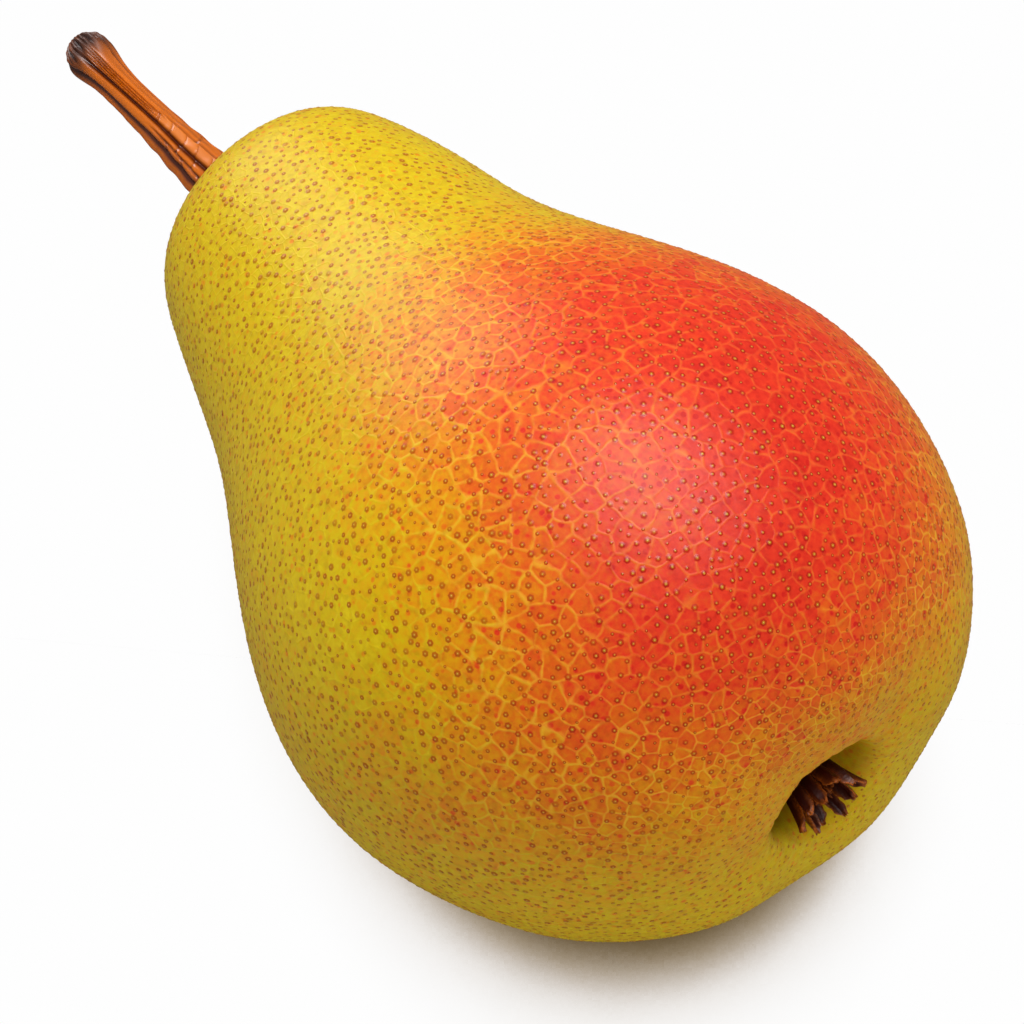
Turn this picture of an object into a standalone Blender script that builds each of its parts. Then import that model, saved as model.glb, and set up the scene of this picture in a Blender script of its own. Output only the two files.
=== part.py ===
"""A ripe pear lying on its side: fruit, woody stem, dried calyx and stamens.

The pear is modelled along its own axis, with the eye at X = 0 and the stem towards -X.
An empty then tilts the axis and lowers it, so that the flat rest spot under the belly lies
on the ground plane with its middle at the origin.
"""
import math

import bmesh
import bpy
import numpy as np
from mathutils import Matrix, Vector

TURN = 2.0 * math.pi

# The driving dimension, in millimetres. The pear is drawn 68 mm across the belly, and every
# other size below is in drawn millimetres, so it grows with the belly.
BELLY_DIAMETER = 68.0
DRAWN_DIAMETER = 68.0
UNIT = 0.001 * BELLY_DIAMETER / DRAWN_DIAMETER

# Vertices of the turned outline this close become one, in drawn millimetres, and the
# tolerance of the flat cut, in metres
WELD_WITHIN = 1e-4
CUT_TOLERANCE = 1e-7

# Outline of the fruit: distance behind the eye's crest, and radius
BASIN = [(5.8, 0.0), (5.7, 3.0), (4.7, 4.7), (2.6, 5.6), (0.7, 6.6), (0.0, 9.8)]
BODY = [(1.1, 16.2), (8.1, 25.7), (14.2, 29.8), (29.3, 34.0), (47.5, 30.1), (65.7, 21.4),
        (74.8, 18.6), (83.0, 16.0), (89.0, 12.6)]
STEM_PIT = [(92.3, 6.4), (92.5, 4.8), (91.8, 3.7), (90.4, 3.2), (88.6, 3.2)]
SOCKET_FLOOR = (88.6, 0.0)
OUTLINE_SPACING = 3.0
CHORD_POWER = 0.75
SIDES_AROUND = 48

# The axis of the fruit isn't straight: how far it bows at even steps from the eye to the
# stem, towards a side a little above level
BODY_LENGTH = 93.0
BOW = [0.3, -0.5, -1.5, -1.2, 0.9, 1.8]
BOW_LEAN = math.radians(14.1)

# The stem pit lies to one side of the neck's middle
PIT_SHIFT = -1.65
PIT_SHIFT_WHOLE_TO = 5.0
PIT_SHIFT_NONE_FROM = 13.0
NECK_END_FROM = 82.0

# Low swellings round the eye
EYE_SWELLINGS = 5
SWELLING_HEIGHT = 0.3
SWELLING_RADIUS = 15.0
SWELLING_REACH = 9.0
SWELLING_ENDS_AT = 30.0

# How the fruit lies: the eye's end is a little higher, and the belly is flat where it rests
AXIS_TILT = math.radians(11.1)
REST_SPOT_DEPTH = 1.3

# The stem: distance from its tip, and radius over the ridges
STEM_OUTLINE = [(0.0, 0.0), (0.3, 1.5), (1.3, 2.35), (2.4, 2.65), (5.2, 2.2), (10.8, 1.95),
                (16.2, 2.2), (21.4, 2.6), (25.4, 2.8), (27.9, 2.75), (30.6, 2.75)]
STEM_SPACING = 1.2
STEM_SIDES = 28
STEM_RIDGES = 7
STEM_RIDGE_DEPTH = 0.2
STEM_RIDGES_TWIST = 0.06
STEM_RIDGES_WHOLE_AT = 1.8
STEM_TIP_FLAT = 0.5
STEM_FOOT_AT = 89.0
STEM_RISE = 0.8
STEM_LEAN = -0.6
STEM_SWAY = -0.15

# A small disc, as shares of its thickness and radius, and a strap, as shares of its length
# and width
DISC_SHAPE = [(0.0, 0.9), (0.25, 1.0), (1.0, 0.82)]
STRAP_SHAPE = [(0.0, 0.7), (0.2, 0.95), (0.45, 1.0), (0.7, 0.95), (0.9, 0.78), (1.0, 0.5)]
ROOT_SINK = 0.3

# The dried calyx in the eye
CALYX_FLOOR_GAP = 0.35
CALYX_DISC_RADIUS = 3.1
CALYX_DISC_THICKNESS = 0.9
CALYX_DISC_SIDES = 20
SEPAL_COUNT = 10
SEPAL_WIDTH = 1.7
SEPAL_THICKNESS = 0.65
SEPAL_LENGTH = 6.4
SEPAL_SPREAD = 1.5
SEPAL_ROOT_RADIUS = 2.45
SEPAL_SIDES = 8
SEPAL_UNEVEN_BY = 0.4
SEPAL_UNEVEN_TURN = 2.4

# The tuft of stamens and styles inside the sepals
STAMEN_DISC_RADIUS = 1.3
STAMEN_DISC_THICKNESS = 0.8
STAMEN_DISC_GAP = 0.3
STAMEN_DISC_SIDES = 12
STAMEN_COUNT = 9
STAMEN_RADIUS = 0.3
STAMEN_LENGTH = 3.9
STAMEN_SIDES = 5
STAMEN_RING_RADIUS = 0.8
STAMEN_SPREAD = 0.35
STAMEN_UNEVEN_BY = 0.5
STAMEN_UNEVEN_TURN = 1.7


def clear_scene():
    """Remove whatever objects the file opened with."""
    for thing in list(bpy.data.objects):
        bpy.data.objects.remove(thing, do_unlink=True)


def finish(name, color, roughness):
    """Make the plain material of one piece."""
    material = bpy.data.materials.new(name)
    material.use_nodes = True
    shader = material.node_tree.nodes["Principled BSDF"]
    shader.inputs["Base Color"].default_value = (*color, 1.0)
    shader.inputs["Roughness"].default_value = roughness
    shader.inputs["Metallic"].default_value = 0.0
    return material


def add_piece(name, bm, material, carrier):
    """Turn a bmesh into a named object, in place on the pear's axis."""
    bmesh.ops.recalc_face_normals(bm, faces=bm.faces)
    mesh = bpy.data.meshes.new(name)
    bm.to_mesh(mesh)
    bm.free()
    mesh.materials.append(material)
    mesh.shade_smooth()
    piece = bpy.data.objects.new(name, mesh)
    bpy.context.scene.collection.objects.link(piece)
    piece.parent = carrier
    return piece


def spline_slopes(knots, values):
    """Give the slopes at the knots of the natural cubic spline through the values."""
    count = len(knots)
    step = np.diff(knots)
    rise = np.diff(values, axis=0) / step[:, None]
    matrix = np.zeros((count, count))
    right = np.zeros_like(values)
    matrix[0, :2] = (2.0, 1.0)
    right[0] = 3.0 * rise[0]
    matrix[-1, -2:] = (1.0, 2.0)
    right[-1] = 3.0 * rise[-1]
    for i in range(1, count - 1):
        matrix[i, i - 1] = step[i]
        matrix[i, i] = 2.0 * (step[i - 1] + step[i])
        matrix[i, i + 1] = step[i - 1]
        right[i] = 3.0 * (step[i] * rise[i - 1] + step[i - 1] * rise[i])
    return np.linalg.solve(matrix, right)


def spline_point(knots, values, slopes, span, share):
    """Give the point of the spline at a share of the way along one span."""
    width = knots[span + 1] - knots[span]
    s2 = share * share
    s3 = s2 * share
    return ((2 * s3 - 3 * s2 + 1) * values[span] + (s3 - 2 * s2 + share) * width * slopes[span]
            + (3 * s2 - 2 * s3) * values[span + 1] + (s3 - s2) * width * slopes[span + 1])


def smooth_outline(points, spacing):
    """Draw a smooth curve through the points, with a vertex about every spacing."""
    values = np.array(points, dtype=float)
    chords = np.linalg.norm(np.diff(values, axis=0), axis=1)
    knots = np.concatenate([[0.0], np.cumsum(chords ** CHORD_POWER)])
    slopes = spline_slopes(knots, values)
    curve = []
    for span, chord in enumerate(chords):
        steps = max(2, math.ceil(chord / spacing))
        for k in range(steps):
            curve.append(spline_point(knots, values, slopes, span, k / steps).tolist())
    curve.append(values[-1].tolist())
    return curve


BOW_KNOTS = np.linspace(0.0, BODY_LENGTH, len(BOW))
BOW_VALUES = np.array(BOW)[:, None]
BOW_SLOPES = spline_slopes(BOW_KNOTS, BOW_VALUES)


def bow_at(distance):
    """Give the sideways bow of the fruit's axis at a distance behind the eye."""
    inside = min(max(distance, 0.0), BODY_LENGTH)
    span = min(int(inside / BODY_LENGTH * (len(BOW) - 1)), len(BOW) - 2)
    share = (inside - BOW_KNOTS[span]) / (BOW_KNOTS[span + 1] - BOW_KNOTS[span])
    return float(spline_point(BOW_KNOTS, BOW_VALUES, BOW_SLOPES, span, share)[0])


def smooth_step(low, high, value):
    """Rise smoothly from 0 at low to 1 at high."""
    share = min(max((value - low) / (high - low), 0.0), 1.0)
    return share * share * (3.0 - 2.0 * share)


def axis_offset(amount):
    """Turn an amount of bow into a Y and Z offset."""
    return Vector((0.0, amount * math.cos(BOW_LEAN), amount * math.sin(BOW_LEAN)))


def pit_center():
    """Give the offset of the stem pit's middle from the straight axis."""
    return axis_offset(bow_at(BODY_LENGTH) + PIT_SHIFT)


def shaped(distance, radius, angle):
    """Place one point of the fruit's skin: bow, pit shift and eye swellings."""
    ring = math.exp(-((radius - SWELLING_RADIUS) / SWELLING_REACH) ** 2)
    near_eye = 1.0 - smooth_step(0.0, SWELLING_ENDS_AT, distance)
    swelling = SWELLING_HEIGHT * ring * near_eye * math.cos(EYE_SWELLINGS * angle)
    shift = bow_at(distance)
    if distance > NECK_END_FROM:
        near_pit = 1.0 - smooth_step(PIT_SHIFT_WHOLE_TO, PIT_SHIFT_NONE_FROM, radius)
        shift = (1.0 - near_pit) * shift + near_pit * (bow_at(BODY_LENGTH) + PIT_SHIFT)
    place = axis_offset(shift)
    place.x = -distance + swelling
    place.y += radius * math.cos(angle)
    place.z += radius * math.sin(angle)
    return place * UNIT


def spin_outline(outline, sides):
    """Turn an outline whose ends are on the axis, and place every vertex with shaped."""
    bm = bmesh.new()
    verts = [bm.verts.new((-distance, radius, 0.0)) for distance, radius in outline]
    edges = [bm.edges.new(pair) for pair in zip(verts, verts[1:])]
    bmesh.ops.spin(bm, geom=verts + edges, cent=(0, 0, 0), axis=(1, 0, 0), angle=TURN,
                   steps=sides, use_merge=True)
    bmesh.ops.remove_doubles(bm, verts=bm.verts, dist=WELD_WITHIN)
    for vert in bm.verts:
        radius = math.hypot(vert.co.y, vert.co.z)
        angle = math.atan2(vert.co.z, vert.co.y)
        vert.co = shaped(-vert.co.x, radius, angle)
    return bm


def flatten_rest_spot(bm):
    """Cut the belly flat where it rests, and give the middle of the flat."""
    up = Vector((math.sin(AXIS_TILT), 0.0, math.cos(AXIS_TILT)))
    lowest = min(vert.co.dot(up) for vert in bm.verts)
    level = lowest + REST_SPOT_DEPTH * UNIT
    everything = bm.verts[:] + bm.edges[:] + bm.faces[:]
    cut = bmesh.ops.bisect_plane(bm, geom=everything, dist=CUT_TOLERANCE,
                                 plane_co=up * level, plane_no=up, clear_inner=True)
    rim = [item for item in cut["geom_cut"] if isinstance(item, bmesh.types.BMEdge)]
    flat = bmesh.ops.edgeloop_fill(bm, edges=rim)["faces"][0]
    return flat.calc_center_median()


def make_fruit(carrier):
    """One grown body of skin and flesh, with the eye's basin and the stem pit."""
    outline = smooth_outline(BASIN + BODY + STEM_PIT[:-1], OUTLINE_SPACING)
    outline += [STEM_PIT[-1], SOCKET_FLOOR]
    bm = spin_outline(outline, SIDES_AROUND)
    bmesh.ops.recalc_face_normals(bm, faces=bm.faces)
    rest_point = flatten_rest_spot(bm)
    skin = finish("fruit", (0.74, 0.42, 0.02), 0.36)
    return add_piece("fruit", bm, skin, carrier), rest_point


def ring_of(bm, center, across, upward, radii):
    """Add a ring of vertices round a center, one for each radius."""
    verts = []
    for k, radius in enumerate(radii):
        angle = TURN * k / len(radii)
        verts.append(bm.verts.new(center + radius * (math.cos(angle) * across
                                                     + math.sin(angle) * upward)))
    return verts


def loft(bm, rings):
    """Join rings of equal size into one closed body with a flat face at each end."""
    bm.faces.new(rings[0])
    bm.faces.new(rings[-1])
    for lower, upper in zip(rings, rings[1:]):
        for k in range(len(lower)):
            following = (k + 1) % len(lower)
            bm.faces.new((lower[k], lower[following], upper[following], upper[k]))


def stem_center(share):
    """Give the stem's middle at a share of its length from the foot."""
    length = STEM_OUTLINE[-1][0]
    bowed = 4.0 * share * (1.0 - share)
    place = pit_center() + axis_offset(STEM_LEAN * share + STEM_SWAY * bowed)
    place.x = -STEM_FOOT_AT - length * share
    place.z += STEM_RISE * share * share
    return place


def make_stem(carrier):
    """The woody stalk: low ridges along it, and a flared knob where it broke off."""
    bm = bmesh.new()
    length = STEM_OUTLINE[-1][0]
    rings = []
    for from_tip, radius in smooth_outline(STEM_OUTLINE, STEM_SPACING):
        if radius < STEM_TIP_FLAT:
            continue
        depth = STEM_RIDGE_DEPTH * smooth_step(STEM_TIP_FLAT, STEM_RIDGES_WHOLE_AT, radius)
        radii = []
        for k in range(STEM_SIDES):
            around_stem = STEM_RIDGES * TURN * k / STEM_SIDES
            wave = 0.5 - 0.5 * math.cos(around_stem + STEM_RIDGES_TWIST * from_tip)
            radii.append((radius - depth * wave) * UNIT)
        center = stem_center(1.0 - from_tip / length) * UNIT
        rings.append(ring_of(bm, center, Vector((0, 1, 0)), Vector((0, 0, 1)), radii))
    loft(bm, rings)
    bark = finish("stem", (0.25, 0.075, 0.018), 0.3)
    return add_piece("stem", bm, bark, carrier)


def disc(bm, center, radius, thickness, sides):
    """Add a closed disc across the pear's axis, its lower face at the center."""
    rings = []
    for height, wide in DISC_SHAPE:
        middle = (center + Vector((height * thickness, 0, 0))) * UNIT
        radii = [radius * wide * UNIT] * sides
        rings.append(ring_of(bm, middle, Vector((0, 1, 0)), Vector((0, 0, 1)), radii))
    loft(bm, rings)


def strap(bm, root, outward, sideways, length, spread, width, thickness, sides):
    """Add one closed strap that rises along the axis and leans outward to a blunt tip."""
    rings = []
    for share, wide in STRAP_SHAPE:
        middle = root + Vector((length * share, 0, 0)) + outward * (spread * share * share)
        lean = math.atan2(2.0 * spread * share, length)
        normal = outward * math.cos(lean) - Vector((math.sin(lean), 0, 0))
        verts = []
        for k in range(sides):
            angle = TURN * (k + 0.5) / sides
            offset = (sideways * (0.5 * width * wide * math.cos(angle))
                      + normal * (0.5 * thickness * math.sin(angle)))
            verts.append(bm.verts.new((middle + offset) * UNIT))
        rings.append(verts)
    loft(bm, rings)


def unite(name, shapes, material, carrier):
    """Fuse several closed shapes into one named piece with a Boolean union."""
    parts = bpy.data.collections.new(name + "_parts")
    for number, bm in enumerate(shapes[1:]):
        shape = add_piece(f"{name}_part_{number}", bm, material, None)
        bpy.context.scene.collection.objects.unlink(shape)
        parts.objects.link(shape)
    piece = add_piece(name, shapes[0], material, carrier)
    union = piece.modifiers.new("Union", "BOOLEAN")
    union.operation = "UNION"
    union.solver = "EXACT"
    union.operand_type = "COLLECTION"
    union.collection = parts
    # The shapes are drawn on the straight axis, so the carrier is still where it was made
    fused = bpy.data.meshes.new_from_object(
        piece.evaluated_get(bpy.context.evaluated_depsgraph_get()))
    piece.modifiers.remove(union)
    piece.data = fused
    piece.data.name = name
    for shape in list(parts.objects):
        bpy.data.objects.remove(shape, do_unlink=True)
    bpy.data.collections.remove(parts)
    return piece


def around(angle):
    """Give the outward and sideways directions at an angle round the pear's axis."""
    outward = Vector((0.0, math.cos(angle), math.sin(angle)))
    sideways = Vector((0.0, -math.sin(angle), math.cos(angle)))
    return outward, sideways


def make_calyx(carrier):
    """The ring of dried sepals: blunt straps that rise from a small disc."""
    base = axis_offset(bow_at(BASIN[0][0]))
    base.x = -BASIN[0][0] + CALYX_FLOOR_GAP
    shapes = [bmesh.new()]
    disc(shapes[0], base, CALYX_DISC_RADIUS, CALYX_DISC_THICKNESS, CALYX_DISC_SIDES)
    for k in range(SEPAL_COUNT):
        outward, sideways = around(TURN * k / SEPAL_COUNT)
        uneven = SEPAL_UNEVEN_BY * math.sin(SEPAL_UNEVEN_TURN * k)
        root = base + outward * SEPAL_ROOT_RADIUS + Vector((ROOT_SINK, 0, 0))
        shapes.append(bmesh.new())
        strap(shapes[-1], root, outward, sideways, SEPAL_LENGTH + uneven,
              SEPAL_SPREAD - uneven, SEPAL_WIDTH, SEPAL_THICKNESS, SEPAL_SIDES)
    dry = finish("calyx", (0.11, 0.022, 0.008), 0.55)
    return unite("calyx", shapes, dry, carrier)


def make_stamens(carrier):
    """The tuft of dried stamens and styles, on its own small button."""
    base = axis_offset(bow_at(BASIN[0][0]))
    base.x = -BASIN[0][0] + CALYX_FLOOR_GAP + CALYX_DISC_THICKNESS + STAMEN_DISC_GAP
    shapes = [bmesh.new()]
    disc(shapes[0], base, STAMEN_DISC_RADIUS, STAMEN_DISC_THICKNESS, STAMEN_DISC_SIDES)
    for k in range(STAMEN_COUNT):
        on_ring = k > 0
        outward, sideways = around(TURN * k / (STAMEN_COUNT - 1))
        root = base + outward * (STAMEN_RING_RADIUS * on_ring) + Vector((ROOT_SINK, 0, 0))
        shorter = STAMEN_UNEVEN_BY * math.sin(STAMEN_UNEVEN_TURN * k) ** 2
        shapes.append(bmesh.new())
        strap(shapes[-1], root, outward, sideways, STAMEN_LENGTH - shorter,
              STAMEN_SPREAD * on_ring, 2.0 * STAMEN_RADIUS, 2.0 * STAMEN_RADIUS, STAMEN_SIDES)
    dry = finish("stamens", (0.06, 0.012, 0.006), 0.6)
    return unite("stamens", shapes, dry, carrier)


def main():
    clear_scene()
    carrier = bpy.data.objects.new("pear_axis", None)
    bpy.context.scene.collection.objects.link(carrier)
    rest_point = make_fruit(carrier)[1]
    make_stem(carrier)
    make_calyx(carrier)
    make_stamens(carrier)
    turn = Matrix.Rotation(-AXIS_TILT, 4, "Y")
    carrier.matrix_world = Matrix.Translation(-(turn @ rest_point)) @ turn
    bpy.context.view_layer.update()


main()
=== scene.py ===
"""Looks of a ripe pear lying on its side: skin, lenticels, stem, calyx and stamens.

Laid out as a Blender add-on. Run as a script, it builds every piece round the fixed frame.
"""
import math

import bpy
import numpy as np
from bpy.props import FloatProperty, FloatVectorProperty, IntProperty, PointerProperty
from bpy.types import Operator, Panel, PropertyGroup
from mathutils import Matrix, Vector


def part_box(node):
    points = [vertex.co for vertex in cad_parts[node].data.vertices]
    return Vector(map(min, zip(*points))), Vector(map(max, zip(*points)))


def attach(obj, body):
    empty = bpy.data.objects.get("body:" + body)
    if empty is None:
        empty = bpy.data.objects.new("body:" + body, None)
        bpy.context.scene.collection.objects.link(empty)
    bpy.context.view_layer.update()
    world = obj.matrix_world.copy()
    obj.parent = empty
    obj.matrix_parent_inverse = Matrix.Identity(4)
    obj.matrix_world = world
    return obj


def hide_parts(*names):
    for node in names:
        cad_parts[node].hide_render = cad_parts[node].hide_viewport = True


bl_info = {
    "name": "Ripe Pear",
    "version": (1, 0, 0),
    "blender": (4, 5, 0),
    "location": "View3D > Sidebar > Pear",
    "description": "Builds the skin, lenticels, stem, calyx and stamens of a ripe pear",
    "category": "Object",
}

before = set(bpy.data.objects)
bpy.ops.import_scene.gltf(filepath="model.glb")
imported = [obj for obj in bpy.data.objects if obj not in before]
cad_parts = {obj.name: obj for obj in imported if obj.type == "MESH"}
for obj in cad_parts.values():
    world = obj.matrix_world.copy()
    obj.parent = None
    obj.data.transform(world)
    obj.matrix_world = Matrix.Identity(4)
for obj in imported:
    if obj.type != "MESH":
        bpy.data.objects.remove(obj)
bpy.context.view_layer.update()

TURN = 2.0 * math.pi
MM = 0.001
WELD = 0.0005 * MM

# The fruit's form, in millimetres: distance behind the eye's crest, and radius
BASIN = [(5.8, 0.0), (5.7, 3.0), (4.7, 4.7), (2.6, 5.6), (0.7, 6.6), (0.0, 9.8)]
BODY = [(1.1, 16.2), (8.1, 25.7), (14.2, 29.8), (29.3, 34.0), (47.5, 30.1), (65.7, 21.4),
        (74.8, 18.6), (83.0, 16.0), (89.0, 12.6)]
STEM_PIT = [(92.3, 6.4), (92.5, 4.8), (91.8, 3.7), (90.4, 3.2), (88.6, 3.2)]
SOCKET_FLOOR = (88.6, 0.0)
CHORD_POWER = 0.75
FRAME_SPACING = 3.0
FRAME_SIDES = 48

# The sideways bow of its axis, the stem pit's shift and the swellings round the eye
BODY_LENGTH = 93.0
BOW = [0.3, -0.5, -1.5, -1.2, 0.9, 1.8]
BOW_LEAN = math.radians(14.1)
PIT_SHIFT = -1.65
PIT_SHIFT_WHOLE_TO = 5.0
PIT_SHIFT_NONE_FROM = 13.0
NECK_END_FROM = 82.0
EYE_SWELLINGS = 5
SWELLING_HEIGHT = 0.3
SWELLING_RADIUS = 15.0
SWELLING_REACH = 9.0
SWELLING_ENDS_AT = 30.0
AXIS_TILT = math.radians(11.1)

# Fine radial wrinkles in the basin: how many, height, radius and reach
WRINKLES = [(11, 0.03, 0.4), (17, 0.03, 2.1), (26, 0.03, 4.0), (37, 0.02, 1.2)]
WRINKLE_RADIUS = 6.6
WRINKLE_REACH = 2.8
WRINKLES_END_AT = 8.0
WRINKLES_FADE = 2.0

# The stem: distance from its tip, and radius over the ridges
STEM_OUTLINE = [(0.0, 0.0), (0.3, 1.5), (1.3, 2.35), (2.4, 2.65), (5.2, 2.2), (10.8, 1.95),
                (16.2, 2.2), (21.4, 2.6), (25.4, 2.8), (27.9, 2.75), (30.6, 2.75)]
STEM_LENGTH = 30.6
STEM_FOOT_AT = 89.0
STEM_RISE = 0.8
STEM_LEAN = -0.6
STEM_SWAY = -0.15

# Grooves along the stem: angle, half width in degrees, depth in mm, and where they fade
STEM_GROOVES = [
    (109, 7.0, 0.45, 3.0, 29.0), (157, 11.0, 0.45, 3.0, 28.0), (101, 2.9, 0.20, 4.0, 14.5),
    (94, 2.9, 0.22, 4.0, 14.5), (87, 2.9, 0.22, 3.5, 14.0), (79.5, 2.9, 0.20, 3.5, 15.0),
    (72, 3.0, 0.16, 15.0, 29.0), (132, 4.0, 0.24, 15.5, 29.0), (55, 8.0, 0.10, 5.0, 22.0),
    (30, 8.0, 0.28, 4.0, 29.0), (8, 5.0, 0.14, 3.0, 28.0), (203, 8.0, 0.28, 3.0, 28.0),
    (232, 6.0, 0.20, 3.0, 28.0), (252, 4.0, 0.12, 3.0, 20.0), (276, 9.0, 0.30, 3.0, 28.0),
    (312, 7.0, 0.22, 3.0, 28.0), (338, 7.0, 0.26, 4.0, 28.0),
]
GROOVE_TWIST = -1.3
GROOVE_FADE = 1.6

# Cracks across the stem near its foot: distance from the tip, and the angles they span
STEM_CRACKS = [(15.0, 72, 103), (17.2, 72, 103), (19.6, 72, 103), (21.6, 72, 103), (24.0, 72, 103),
               (26.4, 72, 103), (19.6, 104, 127), (22.4, 104, 127), (25.0, 104, 127),
               (18.4, 127, 152), (21.2, 127, 152), (24.2, 127, 152), (20.2, 30, 72),
               (24.4, 30, 72), (19.5, 203, 240), (23.0, 203, 270), (22.0, 276, 330)]
CRACK_DEPTH = 0.11
CRACK_WIDTH = 0.15
PLATE_ANGLES = (68.0, 107.0)

# The knob's lobes and the scallops of its cap, how many and how deep, and the flange behind
LOBES = 5.5
LOBE_DEPTH = 0.26
SCALLOPS = 11.0
SCALLOP_DEPTH = 0.3
CAP_ROUGHNESS = 0.06
FLANGE_ANGLE = 183.0
FLANGE_WIDTH = 6.0
FLANGE_HEIGHT = 0.11
LUMP_HEIGHT = 0.05
PLATE_DEPTH = 0.05

# Painted shade in the hollows of the basin and the stem pit: middle in the frame's metres, and where
# it is whole and gone, in mm
EYE_PAINTED_SHADE = (0.0264, 0.0004, 0.0394)
EYE_PAINTED_SHADE_REACH = (4.8, 7.6)
PIT_PAINTED_SHADE = (-0.0590, 0.0013, 0.0222)
PIT_PAINTED_SHADE_REACH = (3.0, 7.0)

# The dried sepals and the tuft inside them
CUPPING = 0.9
CALYX_FLOOR_GAP = 0.35
DISC_RADIUS = 3.1
DISC_THICKNESS = 0.9
SEPAL_COUNT = 10
SEPAL_STATIONS = 22
SEPAL_SIDES = 20
SEPAL_ROOT_RADIUS = 2.45
SEPAL_THICKNESS = 0.5
SEPAL_SPREAD = 1.35
STRAP_RAISED = (0.3, 0.0, 0.0)
STAMEN_COUNT = 17
STAMEN_RING = 0.95
STYLE_COUNT = 5
STYLE_RING = 0.35
THREAD_THICKNESS = 0.34

# The camera and the lights, worked out from the photograph
CAMERA_AZIMUTH = 50.14
CAMERA_ELEVATION = 70.0
CAMERA_DISTANCE = 0.3619
CAMERA_AIM = (-0.00795, -0.00399, 0.044)
CAMERA_LENS = 135.0
SENSOR_WIDTH = 36.0

# The floor's painted contact shadow, from ambient occlusion: lean and reach of what shades it, and
# colours from shut in to open
FLOOR_SIZE = 6.0
FLOOR_WHITE = 0.8
FLOOR_LEAN = (-0.5, 0.18)
FLOOR_REACH = 0.06
FLOOR_SHADES = [(0.30, (58, 42, 18)), (0.38, (98, 80, 50)), (0.42, (142, 125, 98)),
                (0.455, (182, 168, 150)), (0.48, (212, 204, 196)), (0.51, (236, 232, 228)),
                (0.57, (249, 248, 247)), (0.64, (254, 254, 254))]


def seen(red, green, blue):
    """Turn a colour as seen on a screen, 0 to 255, into the linear one that shaders use."""
    shares = [value / 255.0 for value in (red, green, blue)]
    return tuple(s / 12.92 if s <= 0.04045 else ((s + 0.055) / 1.055) ** 2.4 for s in shares)


class PearSkinSettings(PropertyGroup):
    """Sizes and colours of the fruit's skin."""
    sides: IntProperty(name="Sides", description="Sides round the fruit", default=320, min=48)
    spacing: FloatProperty(name="Spacing", description="Spacing of the rings along the skin",
                           default=0.55 * MM, unit="LENGTH")
    pale: FloatVectorProperty(name="Pale", description="Palest skin, in the net's lines",
                              default=seen(246, 222, 30), subtype="COLOR")
    line: FloatVectorProperty(name="Line", description="Soft light lines of the net",
                              default=seen(255, 178, 66), subtype="COLOR")
    ground: FloatVectorProperty(name="Ground", description="Yellow skin away from the blush",
                                default=seen(220, 188, 0), subtype="COLOR")
    amber: FloatVectorProperty(name="Amber", description="Skin where the blush begins",
                               default=seen(230, 156, 4), subtype="COLOR")
    flame: FloatVectorProperty(name="Flame", description="Skin half way into the blush",
                               default=seen(230, 104, 14), subtype="COLOR")
    blush: FloatVectorProperty(name="Blush", description="Skin well inside the blush",
                               default=seen(228, 54, 24), subtype="COLOR")
    deep: FloatVectorProperty(name="Deep", description="Deepest red of the blush",
                              default=seen(208, 28, 16), subtype="COLOR")
    # painted shade: the dark colour laid into the hollows of the basin and the stem pit
    hollow_shade: FloatVectorProperty(name="Stain", description="Dark skin round the calyx and the stem",
                               default=seen(58, 36, 3), subtype="COLOR")
    cell: FloatProperty(name="Cell", description="Width of the net's cells at the belly",
                        default=2.15 * MM, unit="LENGTH")


class PearLenticelSettings(PropertyGroup):
    """Sizes and colours of the raised dots on the skin."""
    spacing: FloatProperty(name="Spacing", description="Usual least distance between two dots",
                           default=1.03 * MM, unit="LENGTH")
    radius: FloatProperty(name="Radius", description="Radius of a dot with its halo",
                          default=0.46 * MM, unit="LENGTH")
    bead: FloatVectorProperty(name="Bead", description="Golden bead of a dot",
                              default=seen(196, 126, 14), subtype="COLOR")
    # painted highlight: the pale tip stands for the light caught on top of each dot
    tip: FloatVectorProperty(name="Tip", description="Pale tip of a dot",
                             default=seen(250, 226, 130), subtype="COLOR")
    # partly painted shade: the dark ring round a bead is partly its own colour, partly the shade at
    # its foot
    ring: FloatVectorProperty(name="Ring", description="Tint of the dark ring round a bead",
                              default=(0.74, 0.30, 0.1), subtype="COLOR")
    halo: FloatVectorProperty(name="Halo", description="Tint of the soft halo round a ring",
                              default=(0.86, 0.64, 0.4), subtype="COLOR")
    seed: IntProperty(name="Seed", description="Seed of the random placing", default=7)


class PearStemSettings(PropertyGroup):
    """Sizes and colours of the woody stem."""
    sides: IntProperty(name="Sides", description="Sides round the stem", default=360, min=24)
    spacing: FloatProperty(name="Spacing", description="Spacing of the rings along the stem",
                           default=0.16 * MM, unit="LENGTH")
    wood: FloatVectorProperty(name="Wood", description="Orange brown of the ridges",
                              default=seen(212, 106, 4), subtype="COLOR")
    # partly painted shade: this dark brown fills the grooves by their depth, and also the darker
    # grain and patches of the wood
    shade_and_dark_wood: FloatVectorProperty(name="Groove", description="Dark brown of the grooves",
                                default=seen(84, 28, 3), subtype="COLOR")
    plate: FloatVectorProperty(name="Plate", description="Paler plates near the foot",
                               default=seen(216, 122, 36), subtype="COLOR")
    knob: FloatVectorProperty(name="Knob", description="Dark end of the stem",
                              default=seen(40, 13, 5), subtype="COLOR")


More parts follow.
